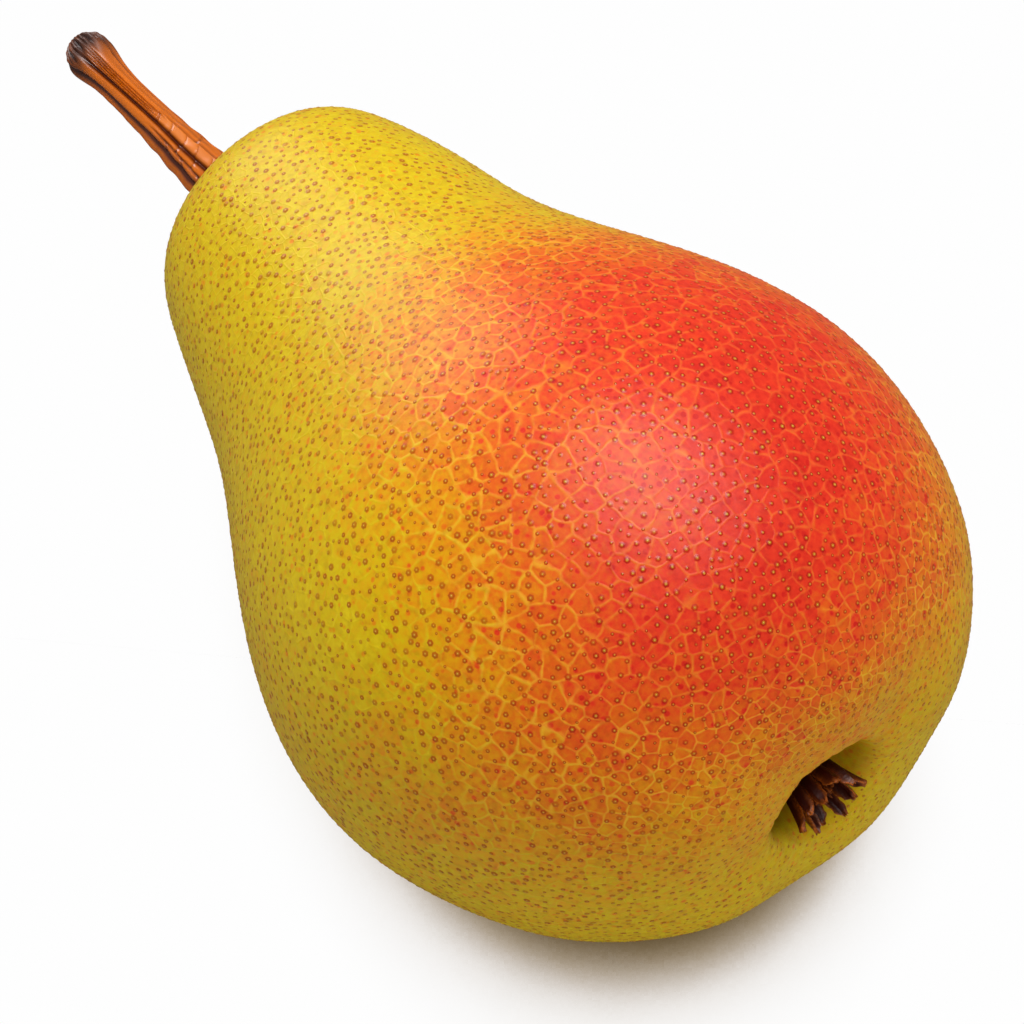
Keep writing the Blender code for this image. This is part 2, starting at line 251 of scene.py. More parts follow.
class PearCalyxSettings(PropertyGroup):
    """Sizes and colours of the dried sepals and stamens."""
    length: FloatProperty(name="Length", description="Length of a sepal",
                          default=6.4 * MM, unit="LENGTH")
    width: FloatProperty(name="Width", description="Width of a sepal",
                         default=1.55 * MM, unit="LENGTH")
    dry: FloatVectorProperty(name="Dry", description="Red brown of the dried sepals",
                             default=seen(70, 17, 5), subtype="COLOR")
    # partly painted shade: the near black at the sepals' roots and on the discs is partly their own
    # colour, partly the shade deep in the basin
    root: FloatVectorProperty(name="Root", description="Near black of their roots",
                              default=seen(22, 6, 3), subtype="COLOR")
    rim: FloatVectorProperty(name="Rim", description="Amber of their frayed rims",
                             default=seen(206, 108, 26), subtype="COLOR")
    seed: IntProperty(name="Seed", description="Seed of their small differences", default=3)


class PearStageSettings(PropertyGroup):
    """The floor and the lights."""
    key_power: FloatProperty(name="Key power", description="Power of the overhead light",
                             default=6.9, unit="POWER")
    gloss_power: FloatProperty(name="Gloss power", description="Power of the broad highlight",
                               default=14.5, unit="POWER")
    side_power: FloatProperty(name="Side power", description="Power of the low side light",
                              default=4.0, unit="POWER")
    reflector_power: FloatProperty(name="Reflector power", default=0.7, unit="POWER",
                                   description="Power of the weak light from the right")
    sky: FloatProperty(name="Sky", description="Brightness of the surroundings", default=0.42)
    mirrored_sky: FloatProperty(name="Mirrored sky", default=0.5,
                                description="Brightness of the surroundings in reflections")
    floor_mirrored: FloatProperty(name="Mirrored floor", default=0.15,
                                  description="Whiteness of the floor in reflections")


def deselect():
    """Leave edit mode and select nothing."""
    if bpy.context.object and bpy.context.object.mode != "OBJECT":
        bpy.ops.object.mode_set(mode="OBJECT")
    bpy.ops.object.select_all(action="DESELECT")


def pick(*pieces):
    """Select only these pieces, with the first one active."""
    deselect()
    for piece in pieces:
        piece.select_set(True)
    bpy.context.view_layer.objects.active = pieces[0]


def edit_all():
    """Enter edit mode with everything selected."""
    bpy.ops.object.mode_set(mode="EDIT")
    bpy.ops.mesh.select_all(action="SELECT")


def smooth_step(low, high, value):
    """Rise smoothly from 0 at low to 1 at high."""
    share = np.clip((np.asarray(value, float) - low) / (high - low), 0.0, 1.0)
    return share * share * (3.0 - 2.0 * share)


def natural_slopes(knots, values):
    """Give the slopes at the knots of the natural cubic spline through the values."""
    count = len(knots)
    step = np.diff(knots)
    rise = np.diff(values, axis=0) / step[:, None]
    matrix = np.zeros((count, count))
    right = np.zeros_like(values)
    matrix[0, :2] = (2.0, 1.0)
    right[0] = 3.0 * rise[0]
    matrix[-1, -2:] = (1.0, 2.0)
    right[-1] = 3.0 * rise[-1]
    for i in range(1, count - 1):
        matrix[i, i - 1] = step[i]
        matrix[i, i] = 2.0 * (step[i - 1] + step[i])
        matrix[i, i + 1] = step[i - 1]
        right[i] = 3.0 * (step[i] * rise[i - 1] + step[i - 1] * rise[i])
    return np.linalg.solve(matrix, right)


def spline_at(knots, values, slopes, where):
    """Give the spline's points at many places along its knots."""
    span = np.clip(np.searchsorted(knots, where, side="right") - 1, 0, len(knots) - 2)
    width = knots[span + 1] - knots[span]
    s = ((where - knots[span]) / width)[:, None]
    width = width[:, None]
    return ((2 * s ** 3 - 3 * s ** 2 + 1) * values[span]
            + (s ** 3 - 2 * s ** 2 + s) * width * slopes[span]
            + (3 * s ** 2 - 2 * s ** 3) * values[span + 1]
            + (s ** 3 - s ** 2) * width * slopes[span + 1])


def smooth_outline(points, spacing):
    """Draw a smooth curve through the points, with a vertex about every spacing."""
    values = np.array(points, float)
    chords = np.linalg.norm(np.diff(values, axis=0), axis=1)
    knots = np.concatenate([[0.0], np.cumsum(chords ** CHORD_POWER)])
    where = []
    for span, chord in enumerate(chords):
        steps = max(2, math.ceil(chord / spacing))
        where.extend(np.linspace(knots[span], knots[span + 1], steps, endpoint=False))
    where = np.array(where + [knots[-1]])
    return spline_at(knots, values, natural_slopes(knots, values), where)


BOW_KNOTS = np.linspace(0.0, BODY_LENGTH, len(BOW))
BOW_VALUES = np.array(BOW)[:, None]
BOW_SLOPES = natural_slopes(BOW_KNOTS, BOW_VALUES)


def bow_at(distance):
    """Give the sideways bow of the fruit's axis at distances behind the eye."""
    inside = np.clip(np.atleast_1d(np.asarray(distance, float)), 0.0, BODY_LENGTH)
    return spline_at(BOW_KNOTS, BOW_VALUES, BOW_SLOPES, inside)[:, 0]


def axis_offset(amount):
    """Turn amounts of bow into offsets along X, Y and Z."""
    amount = np.atleast_1d(np.asarray(amount, float))
    return np.stack([0.0 * amount, amount * math.cos(BOW_LEAN), amount * math.sin(BOW_LEAN)], 1)


def fruit_outline(spacing):
    """Give the fruit's outline from the basin's floor to the socket's floor."""
    curve = smooth_outline(BASIN + BODY + STEM_PIT[:-1], spacing)
    return np.vstack([curve, STEM_PIT[-1:], [SOCKET_FLOOR]])


def skin_points(distance, radius, angle, wrinkled):
    """Place points of the skin on the pear's own axis, in millimetres."""
    ring = np.exp(-((radius - SWELLING_RADIUS) / SWELLING_REACH) ** 2)
    near_eye = 1.0 - smooth_step(0.0, SWELLING_ENDS_AT, distance)
    forward = SWELLING_HEIGHT * ring * near_eye * np.cos(EYE_SWELLINGS * angle)
    if wrinkled:
        band = np.exp(-((radius - WRINKLE_RADIUS) / WRINKLE_REACH) ** 2)
        band = band * (1.0 - smooth_step(WRINKLES_END_AT - WRINKLES_FADE, WRINKLES_END_AT, distance))
        for count, height, phase in WRINKLES:
            forward = forward + height * band * np.sin(count * angle + phase + 0.25 * radius)
    near_pit = 1.0 - smooth_step(PIT_SHIFT_WHOLE_TO, PIT_SHIFT_NONE_FROM, radius)
    near_pit = near_pit * (distance > NECK_END_FROM)
    end_bow = bow_at(BODY_LENGTH)[0] + PIT_SHIFT
    place = axis_offset((1.0 - near_pit) * bow_at(distance) + near_pit * end_bow)
    place[:, 0] = forward - distance
    place[:, 1] += radius * np.cos(angle)
    place[:, 2] += radius * np.sin(angle)
    return place


def axis_to_frame():
    """Give the matrix from the pear's own axis to the frame, fitted to the carried-over fruit."""
    turn = Matrix.Rotation(-AXIS_TILT, 4, "Y")
    outline = fruit_outline(FRAME_SPACING)
    angles = np.linspace(0.0, TURN, FRAME_SIDES, endpoint=False)
    distance = np.repeat(outline[:, 0], FRAME_SIDES)
    radius = np.repeat(outline[:, 1], FRAME_SIDES)
    points = skin_points(distance, radius, np.tile(angles, len(outline)), False) * MM
    turned = points @ np.array(turn.to_3x3()).T
    low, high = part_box("fruit")
    offset = (low.x - turned[:, 0].min(), low.y - turned[:, 1].min(), high.z - turned[:, 2].max())
    return Matrix.Translation(offset) @ turn


TO_FRAME = axis_to_frame()


def in_frame(points):
    """Bring points from the pear's own axis, in millimetres, into the frame, in metres."""
    matrix = np.array(TO_FRAME)
    return (np.asarray(points) * MM) @ matrix[:3, :3].T + matrix[:3, 3]


def on_axis(points):
    """Bring points of the frame, in metres, back onto the pear's axis, in millimetres."""
    matrix = np.array(TO_FRAME)
    return ((np.asarray(points) - matrix[:3, 3]) @ matrix[:3, :3]) / MM


def vertices_of(piece):
    """Read a piece's vertices."""
    flat = np.empty(len(piece.data.vertices) * 3, np.float32)
    piece.data.vertices.foreach_get("co", flat)
    return flat.reshape(-1, 3).astype(float)


def move_vertices(piece, points):
    """Write a piece's vertices."""
    piece.data.vertices.foreach_set("co", np.asarray(points, np.float32).ravel())
    piece.data.update()


def mark(piece, name, values):
    """Give every vertex a value that the piece's material reads."""
    layer = piece.data.attributes.new(name, "FLOAT", "POINT")
    layer.data.foreach_set("value", np.asarray(values, np.float32))


def spun(name, outline, sides):
    """Draw an outline by extruding one vertex, and spin it round the X axis."""
    deselect()
    bpy.ops.mesh.primitive_plane_add(size=MM, location=(0.0, 0.0, 0.0))
    piece = bpy.context.object
    piece.name = name
    piece.data.name = name
    points = [Vector((-distance, radius, 0.0)) * MM for distance, radius in outline]
    edit_all()
    bpy.ops.mesh.merge(type="CENTER")
    bpy.ops.transform.translate(value=points[0])
    for start, end in zip(points, points[1:]):
        bpy.ops.mesh.extrude_region_move(TRANSFORM_OT_translate={"value": end - start})
    bpy.ops.mesh.select_all(action="SELECT")
    bpy.ops.mesh.spin(steps=sides, angle=TURN, center=(0.0, 0.0, 0.0), axis=(1.0, 0.0, 0.0))
    bpy.ops.mesh.select_all(action="SELECT")
    bpy.ops.mesh.remove_doubles(threshold=WELD)
    bpy.ops.mesh.normals_make_consistent(inside=False)
    bpy.ops.object.mode_set(mode="OBJECT")
    return piece


def spun_coordinates(piece):
    """Give distance, radius and angle of a spun piece's vertices, in millimetres."""
    x, y, z = (vertices_of(piece) / MM).T
    return -x, np.hypot(y, z), np.arctan2(z, y)


def outward_again(piece, smooth_angle):
    """Point every face outward and shade the piece smooth up to an angle."""
    pick(piece)
    edit_all()
    bpy.ops.mesh.normals_make_consistent(inside=False)
    bpy.ops.object.mode_set(mode="OBJECT")
    bpy.ops.object.shade_smooth_by_angle(angle=math.radians(smooth_angle))


def finish_piece(piece, material, replaced=None):
    """Give a piece its material and slot, let it ride on the pear, and hide the part that it
    replaces.
    """
    piece.data.materials.clear()
    piece.data.materials.append(material)
    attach(piece, "root")
    if replaced:
        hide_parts(replaced)


def node(tree, kind, inputs=None, **settings):
    """Add a shader node, with its settings, values and links."""
    made = tree.nodes.new("ShaderNode" + kind)
    for key, value in settings.items():
        setattr(made, key, value)
    for key, value in (inputs or {}).items():
        if isinstance(value, bpy.types.NodeSocket):
            tree.links.new(value, made.inputs[key])
        else:
            made.inputs[key].default_value = value
    return made


def calc(tree, operation, first, second=0.0, third=0.0, clamp=False):
    """Add a math node and give its output."""
    made = node(tree, "Math", {0: first, 1: second, 2: third}, operation=operation, use_clamp=clamp)
    return made.outputs[0]


def product(tree, value, *factors):
    """Multiply a value by each of the factors."""
    for factor in factors:
        value = calc(tree, "MULTIPLY", value, factor)
    return value


def vector_calc(tree, operation, *values):
    """Add a vector math node and give its output, a number for a length or a distance."""
    made = node(tree, "VectorMath", dict(enumerate(values)), operation=operation)
    return made.outputs["Value" if operation in ("LENGTH", "DISTANCE") else "Vector"]


def attribute(tree, name):
    """Read a value that was marked on the piece's vertices."""
    return node(tree, "Attribute", attribute_name=name).outputs["Fac"]


def object_place(tree):
    """Give the place on the piece, in metres."""
    return node(tree, "TexCoord").outputs["Object"]


def remap(tree, value, low, high, to_low=0.0, to_high=1.0):
    """Map a value smoothly from one range to another."""
    made = node(tree, "MapRange", {"Value": value, "From Min": low, "From Max": high,
                                   "To Min": to_low, "To Max": to_high},
                interpolation_type="SMOOTHSTEP")
    return made.outputs["Result"]


def blend_color(tree, factor, first, second, mode="MIX"):
    """Mix two colours by a factor."""
    colors = [color if isinstance(color, bpy.types.NodeSocket) else (*color, 1.0)
              for color in (first, second)]
    made = node(tree, "Mix", {0: factor, 6: colors[0], 7: colors[1]}, data_type="RGBA",
                blend_type=mode)
    return made.outputs[2]


def noise(tree, vector, size, detail=2.0):
    """Add a noise of a given size in millimetres, and give its factor and colour."""
    made = node(tree, "TexNoise", {"Vector": vector, "Scale": 1.0 / (size * MM), "Detail": detail},
                noise_dimensions="3D")
    return made.outputs["Fac"], made.outputs["Color"]


def new_group(name, inputs, outputs):
    """Start a shader node group, and give it with its input and output nodes."""
    group = bpy.data.node_groups.new(name, "ShaderNodeTree")
    for label, value in inputs:
        socket = group.interface.new_socket(name=label, in_out="INPUT",
                                            socket_type="NodeSocketFloat")
        socket.default_value = value
    for label, kind in outputs:
        group.interface.new_socket(name=label, in_out="OUTPUT", socket_type=kind)
    return group, group.nodes.new("NodeGroupInput"), group.nodes.new("NodeGroupOutput")


def color_ramp(tree, factor, stops):
    """Add a colour ramp with the given stops and give its colour."""
    made = node(tree, "ValToRGB", {"Fac": factor})
    ramp = made.color_ramp
    ramp.elements[0].position, ramp.elements[1].position = stops[0][0], stops[-1][0]
    ramp.elements[0].color, ramp.elements[1].color = (*stops[0][1], 1.0), (*stops[-1][1], 1.0)
    for position, color in stops[1:-1]:
        ramp.elements.new(position).color = (*color, 1.0)
    return made.outputs["Color"]


# The blush in two soft blobs: middle and reach in mm, slant, amount and steepness
BLUSH_BLOBS = [((1.5, 6.2, 73.4), (30.2, 38.2, 43.7), 0.09, 0.96, 1.78),
               ((-3.2, -10.1, 59.2), (18.1, 26.1, 12.9), -0.10, -0.60, 0.96)]
BLUSH_LEAST = 0.11
BLUSH_BORDERS = ((13.0, 0.22), (4.5, 0.16))

# The levels of blush that the skin's colours span
LOWEST_LEVEL = -0.25
HIGHEST_LEVEL = 1.05

# The net of pale lines, the specks between the dots and the tint of the mottling
BELLY_RADIUS = 34.0
NET_BEND = (0.03, 0.03, 0.0)
SMALL_CELLS = 2.1
SPECK_SPACING = 1.0 * MM
MOTTLE_TINT = (0.80, 0.68, 0.6)


def level_stop(level):
    """Give the place on the skin's colour ramp of a level of blush."""
    return (level - LOWEST_LEVEL) / (HIGHEST_LEVEL - LOWEST_LEVEL)


def blush_level(group, place):
    """Give how deep the blush is at a place, from two slanted blobs with uneven borders."""
    uneven = 0.0
    for size, amount in BLUSH_BORDERS:
        centered = calc(group, "SUBTRACT", noise(group, place, size)[0], 0.5)
        uneven = calc(group, "MULTIPLY_ADD", centered, amount, uneven)
    level = BLUSH_LEAST
    for middle, reach, slant, amount, steepness in BLUSH_BLOBS:
        centered = vector_calc(group, "SUBTRACT", place, tuple(value * MM for value in middle))
        scaled = vector_calc(group, "DIVIDE", centered, tuple(value * MM for value in reach))
        parts = node(group, "SeparateXYZ", {"Vector": scaled}).outputs
        slanted = calc(group, "MULTIPLY_ADD", parts["Y"], slant, parts["X"])
        whole = node(group, "CombineXYZ", {"X": slanted, "Y": parts["Y"], "Z": parts["Z"]})
        away = calc(group, "ADD", vector_calc(group, "LENGTH", whole.outputs[0]), uneven)
        falloff = calc(group, "POWER", away, 2.0 * steepness)
        falloff = calc(group, "EXPONENT", product(group, falloff, -1.0))
        level = calc(group, "MULTIPLY_ADD", falloff, amount, level)
    return level


def skin_pattern():
    """Blush, net of pale lines, specks and mottling of the skin, with painted shade in the hollows
    and along the cells' walls, as one node group.
    """
    name = "Pear skin pattern"
    if name in bpy.data.node_groups:
        return bpy.data.node_groups[name]
    look = bpy.context.scene.pear_skin
    group, given, result = new_group(
        name, [("Net", 1.0)], [("Color", "NodeSocketColor"), ("Height", "NodeSocketFloat")])
    place = object_place(group)
    level = blush_level(group, place)

    # the net's cells lie on a chart of the surface, and a soft noise bends their walls
    chart = node(group, "UVMap", uv_map="surface").outputs["UV"]
    wobble = vector_calc(group, "SUBTRACT", noise(group, place, 2.2, 1.0)[1], (0.5, 0.5, 0.5))
    bent = vector_calc(group, "MULTIPLY_ADD", wobble, NET_BEND, chart)
    per_turn = BELLY_RADIUS * MM / look.cell
    near, far = (node(group, "TexVoronoi", {"Vector": bent, "Scale": per_turn, "Randomness": 0.8},
                      feature=feature, voronoi_dimensions="2D") for feature in ("F1", "F2"))
    walls = calc(group, "SUBTRACT", far.outputs["Distance"], near.outputs["Distance"])
    cell_tones = node(group, "SeparateColor", {"Color": near.outputs["Color"]}).outputs
    small_walls = node(group, "TexVoronoi", {"Vector": bent, "Scale": SMALL_CELLS * per_turn},
                       feature="DISTANCE_TO_EDGE", voronoi_dimensions="2D").outputs["Distance"]
    line = remap(group, walls, 0.0, 0.2, 0.9, 0.0)
    # painted shade: a band inside each cell, along its walls, where the colour goes a little deeper
    # into the blush
    rim = product(group, remap(group, walls, 0.1, 0.24), remap(group, walls, 0.26, 0.5, 1.0, 0.0))
    small_line = remap(group, small_walls, 0.01, 0.14, 1.0, 0.0)

    # the net shows most where the blush begins, thins out in the red, and fades in the yellow
    patchy = remap(group, noise(group, place, 2.6)[0], 0.32, 0.62, 0.35, 1.0)
    shown = product(group, given.outputs["Net"], remap(group, level, 0.1, 0.36, 0.25, 1.0),
                    remap(group, level, 0.5, 0.85, 1.0, 0.42), patchy)
    wall = product(group, line, shown)
    lines = product(group, wall, 0.2)
    small = product(group, small_line, shown, 0.05)
    # painted shade: the band along the cells' walls deepens the colour there
    small = calc(group, "MULTIPLY_ADD", product(group, rim, shown), -0.06, small)
    edge = product(group, level, calc(group, "SUBTRACT", 1.0, level))
    by_cell = product(group, calc(group, "SUBTRACT", cell_tones[0], 0.4),
                      calc(group, "MULTIPLY_ADD", edge, 0.5, 0.02))
    mottle = product(group, calc(group, "SUBTRACT", noise(group, place, 0.7, 3.0)[0], 0.5), 0.4)

    # small reddish specks between the dots
    dots = node(group, "TexVoronoi", {"Vector": place, "Scale": 1.0 / SPECK_SPACING}, feature="F1")
    chance = node(group, "SeparateColor", {"Color": dots.outputs["Color"]}).outputs[0]
    speck = product(group, remap(group, dots.outputs["Distance"], 0.16, 0.36, 1.0, 0.0),
                    remap(group, chance, 0.2, 0.8, 0.0, 0.26))
    amount = calc(group, "ADD", calc(group, "ADD", level, mottle),
                  calc(group, "ADD", by_cell, speck))
    amount = calc(group, "ADD", amount, product(group, level, 0.06))
    amount = calc(group, "SUBTRACT", amount, calc(group, "ADD", lines, small))
    stop = calc(group, "MULTIPLY_ADD", amount, 1.0 / (HIGHEST_LEVEL - LOWEST_LEVEL),
                level_stop(0.0), clamp=True)
    color = color_ramp(group, stop, [
        (0.0, look.pale), (level_stop(0.12), look.ground), (level_stop(0.35), look.amber),
        (level_stop(0.6), look.flame), (level_stop(0.85), look.blush), (1.0, look.deep)])

    light = product(group, wall, remap(group, level, 0.15, 0.45, 0.08, 0.36))
    color = blend_color(group, light, color, look.line)
    patch = remap(group, noise(group, place, 0.9)[0], 0.45, 0.75, 0.0, 0.6)
    color = blend_color(group, patch, color, MOTTLE_TINT, "MULTIPLY")

    # painted shade: the skin darkens in the hollows of the basin and the stem pit
    for middle, (whole, gone) in ((EYE_PAINTED_SHADE, EYE_PAINTED_SHADE_REACH), (PIT_PAINTED_SHADE, PIT_PAINTED_SHADE_REACH)):
        away = vector_calc(group, "DISTANCE", place, middle)
        hollow_shade = remap(group, away, whole * MM, gone * MM, 0.85, 0.0)
        color = blend_color(group, hollow_shade, color, look.hollow_shade)
    group.links.new(color, result.inputs["Color"])
    height = calc(group, "MULTIPLY_ADD", line, 0.5, noise(group, place, 0.9)[0])
    group.links.new(height, result.inputs["Height"])
    return group


def plain_shader(name, roughness, specular):
    """Start a material with a Principled shader."""
    material = bpy.data.materials.new(name)
    material.use_nodes = True
    tree = material.node_tree
    shader = tree.nodes["Principled BSDF"]
    shader.inputs["Roughness"].default_value = roughness
    shader.inputs["Specular IOR Level"].default_value = specular
    return material, tree, shader


def add_bump(tree, shader, height, distance):
    """Feed a height into the shader's normal."""
    bump = node(tree, "Bump", {"Height": height, "Distance": distance, "Strength": 1.0})
    tree.links.new(bump.outputs["Normal"], shader.inputs["Normal"])


def add_flesh(shader):
    """Let a little light through the skin, as flesh does."""
    shader.inputs["Subsurface Weight"].default_value = 0.12
    shader.inputs["Subsurface Radius"].default_value = (1.0, 0.45, 0.12)
    shader.inputs["Subsurface Scale"].default_value = 2.5 * MM


def skin_material():
    """Waxy satin skin."""
    material, tree, shader = plain_shader("pear_skin", 0.42, 0.15)
    pattern = node(tree, "Group", node_tree=skin_pattern())
    tree.links.new(pattern.outputs["Color"], shader.inputs["Base Color"])
    add_bump(tree, shader, pattern.outputs["Height"], 0.035 * MM)
    add_flesh(shader)
    return material


# A dot's colours from its edge in: mix, rise where it begins and is whole, rise where it fades
# and is gone, and amount as a slope on the dot's own tone and a least
DOT_COLORS = {
    "halo": ("MULTIPLY", (0.0, 0.42), None, (0.6, 0.35)),
    # partly painted shade: the dark ring at the bead's foot
    "ring": ("MULTIPLY", (0.16, 0.5), (0.66, 0.95), (0.45, 0.5)),
    "bead": ("MIX", (0.6, 0.82), None, (0.55, 0.4)),
    # painted highlight: the pale tip on top of the dot
    "tip": ("MIX", (0.86, 1.0), None, (0.6, 0.2)),
}


def lenticel_material():
    """A raised dot: soft halo on the skin, dark ring that is partly painted shade, golden bead and a
    pale tip that is a painted highlight.
    """
    look = bpy.context.scene.pear_lenticels
    material, tree, shader = plain_shader("pear_lenticels", 0.32, 0.18)
    rise, tone = attribute(tree, "rise"), attribute(tree, "tone")
    clear = remap(tree, rise, 0.15, 0.4, 1.0, 0.0)
    color = node(tree, "Group", {"Net": clear}, node_tree=skin_pattern()).outputs["Color"]
    for name, (mode, appears, fades, (slope, least)) in DOT_COLORS.items():
        amount = product(tree, remap(tree, rise, *appears),
                         calc(tree, "MULTIPLY_ADD", tone, slope, least))
        if fades:
            amount = product(tree, amount, remap(tree, rise, *fades, 1.0, 0.0))
        color = blend_color(tree, amount, color, getattr(look, name), mode)
    tree.links.new(color, shader.inputs["Base Color"])
    add_flesh(shader)
    return material


def stem_material():
    """Glossy brown wood with darker grain and patches, painted shade in the grooves, cracks and
    lobes, dark at the knob, paler on the plates.
    """
    look = bpy.context.scene.pear_stem
    material, tree, shader = plain_shader("pear_stem", 0.24, 0.4)
    shade_and_dark_wood, plate, along = (attribute(tree, name) for name in ("shade_and_dark_wood", "plate", "along"))
    place = object_place(tree)
    stretched = node(tree, "Mapping", {"Vector": place, "Scale": (0.1, 1.0, 1.0)}).outputs["Vector"]
    grain = noise(tree, stretched, 0.6, 1.0)[0]
    patches = noise(tree, place, 2.5)[0]
    # painted shade from the marked depths, with the wood's own grain and patches
    dark = calc(tree, "MULTIPLY_ADD", calc(tree, "SUBTRACT", grain, 0.5), 0.22, shade_and_dark_wood)
    dark = calc(tree, "MULTIPLY_ADD", calc(tree, "SUBTRACT", patches, 0.5), 0.5, dark, clamp=True)
    color = blend_color(tree, dark, look.wood, look.shade_and_dark_wood)
    color = blend_color(tree, plate, color, look.plate)
    knob = product(tree, remap(tree, along, 2.2, 6.5, 1.0, 0.0),
                   remap(tree, patches, 0.3, 0.7, 0.95, 0.65))
    color = blend_color(tree, knob, color, look.knob)
    tree.links.new(color, shader.inputs["Base Color"])
    rough = calc(tree, "MULTIPLY_ADD", calc(tree, "MAXIMUM", plate, knob), 0.24,
                 remap(tree, grain, 0.3, 0.7, 0.17, 0.26))
    tree.links.new(rough, shader.inputs["Roughness"])
    return material


def calyx_material():
    """Dried, dark red-brown sepals, near black at the root, partly as painted shade deep in the
    basin, with amber frayed rims.
    """
    look = bpy.context.scene.pear_calyx
    material, tree, shader = plain_shader("pear_calyx", 0.42, 0.2)
    fiber = noise(tree, object_place(tree), 0.25, 3.0)[0]
    # partly painted shade: darker towards the roots
    brown = remap(tree, attribute(tree, "reach"), 0.25, 0.75)
    color = blend_color(tree, brown, look.root, look.dry)
    light = product(tree, attribute(tree, "rim"), remap(tree, fiber, 0.35, 0.6, 0.35, 1.0))
    color = blend_color(tree, light, color, look.rim)
    tree.links.new(color, shader.inputs["Base Color"])
    add_bump(tree, shader, fiber, 0.05 * MM)
    return material


# The skin's charts, and the place of the rest spot on the one for baking
CHART_LEAST_RADIUS = 5.0
CHART_CHUNKS = 40
SKIN_SHARE_OF_BAKE = 0.86
FLAT_WITHIN = 1e-6
REST_SPOT_LEAST_AREA = 1e-5
REST_SPOT_ON_BAKE = (0.06, 0.93)
REST_SPOT_BAKE_SCALE = 5.0


def corner_map(piece, name, across, along, wrap):
    """Give every face corner a place on a chart, and keep faces whole where it wraps round."""
    mesh = piece.data
    corners = np.empty(len(mesh.loops), np.int32)
    mesh.loops.foreach_get("vertex_index", corners)
    starts = np.empty(len(mesh.polygons), np.int32)
    mesh.polygons.foreach_get("loop_start", starts)
    u, v = across[corners].copy(), along[corners]
    if wrap:
        widest = np.maximum.reduceat(u, starts) - np.minimum.reduceat(u, starts) > 0.5 * wrap
        sizes = np.diff(np.append(starts, len(corners)))
        u[np.repeat(widest, sizes) & (u < 0.5 * wrap)] += wrap
    layer = mesh.uv_layers.new(name=name)
    layer.uv.foreach_set("vector", np.stack([u, v], 1).astype(np.float32).ravel())


def chart_skin(piece, outline, distance, radius, angle, sides):
    """Chart the skin by turns round and steps along, for the net and for baking."""
    steps = np.linalg.norm(np.diff(outline, axis=0), axis=1)
    wide = np.maximum(outline[:, 1], CHART_LEAST_RADIUS)
    length = np.concatenate([[0.0], np.cumsum(steps)])
    turns = np.concatenate([[0.0], np.cumsum(2.0 * steps / (wide[1:] + wide[:-1]))])
    places = np.array_split(np.stack([distance, radius], 1), CHART_CHUNKS)
    ring = np.concatenate([
        np.argmin(((chunk[:, None] - outline[None]) ** 2).sum(2), 1) for chunk in places])
    column = np.round((angle / TURN + 0.25) * sides) % sides
    mark(piece, "stepped", turns[ring])
    corner_map(piece, "OFBake", column / sides, SKIN_SHARE_OF_BAKE * length[ring] / length[-1], 1.0)
    corner_map(piece, "surface", TURN * column / sides, turns[ring], TURN)


def make_skin():
    """The fruit's skin: the outline spun fine, bent to its form, and cut flat where it rests."""
    look = bpy.context.scene.pear_skin
    outline = fruit_outline(look.spacing / MM)
    piece = spun("pear_skin", outline, look.sides)
    distance, radius, angle = spun_coordinates(piece)
    chart_skin(piece, outline, distance, radius, angle, look.sides)
    move_vertices(piece, in_frame(skin_points(distance, radius, angle, True)))
    edit_all()
    bpy.ops.mesh.bisect(plane_co=(0.0, 0.0, 0.0), plane_no=(0.0, 0.0, 1.0), use_fill=True,
                        clear_inner=True, threshold=FLAT_WITHIN)
    bpy.ops.object.mode_set(mode="OBJECT")
    outward_again(piece, 60.0)
    bake = piece.data.uv_layers["OFBake"].uv
    for face in piece.data.polygons:
        if abs(face.center.z) < FLAT_WITHIN and face.area > REST_SPOT_LEAST_AREA:
            for corner in face.loop_indices:
                point = piece.data.vertices[piece.data.loops[corner].vertex_index].co
                bake[corner].vector = (Vector(REST_SPOT_ON_BAKE)
                                       + REST_SPOT_BAKE_SCALE * point.to_2d())
    finish_piece(piece, skin_material(), "fruit")


# How many spots are tried for each square of one spacing
TRIES_PER_SPOT = 4.0

# Dots stay off the rest spot, and off the pit and the basin by distance and radius
CLEAR_OF_FLOOR = 0.3 * MM
CLEAR_OF_PIT = (80.0, 7.5)
CLEAR_OF_BASIN = (7.0, 6.3)

# Dots crowd and shrink round the eye, crowd a little in the neck, and vary at random
EYE_CROWD = 0.3
EYE_CROWD_RADIUS = 15.0
EYE_CROWD_ENDS_AT = 20.0
NECK_CROWD = 0.12
NECK_CROWD_SPAN = (60.0, 85.0)
SPACING_VARIES = (0.62, 1.16)
SIZE_VARIES = (0.5, 1.2)


def corner_values(piece, corners, weights, name):
    """Blend a vertex value over the corners of triangles."""
    values = np.empty(len(piece.data.vertices), np.float32)
    piece.data.attributes[name].data.foreach_get("value", values)
    return (values[corners] * weights).sum(1)


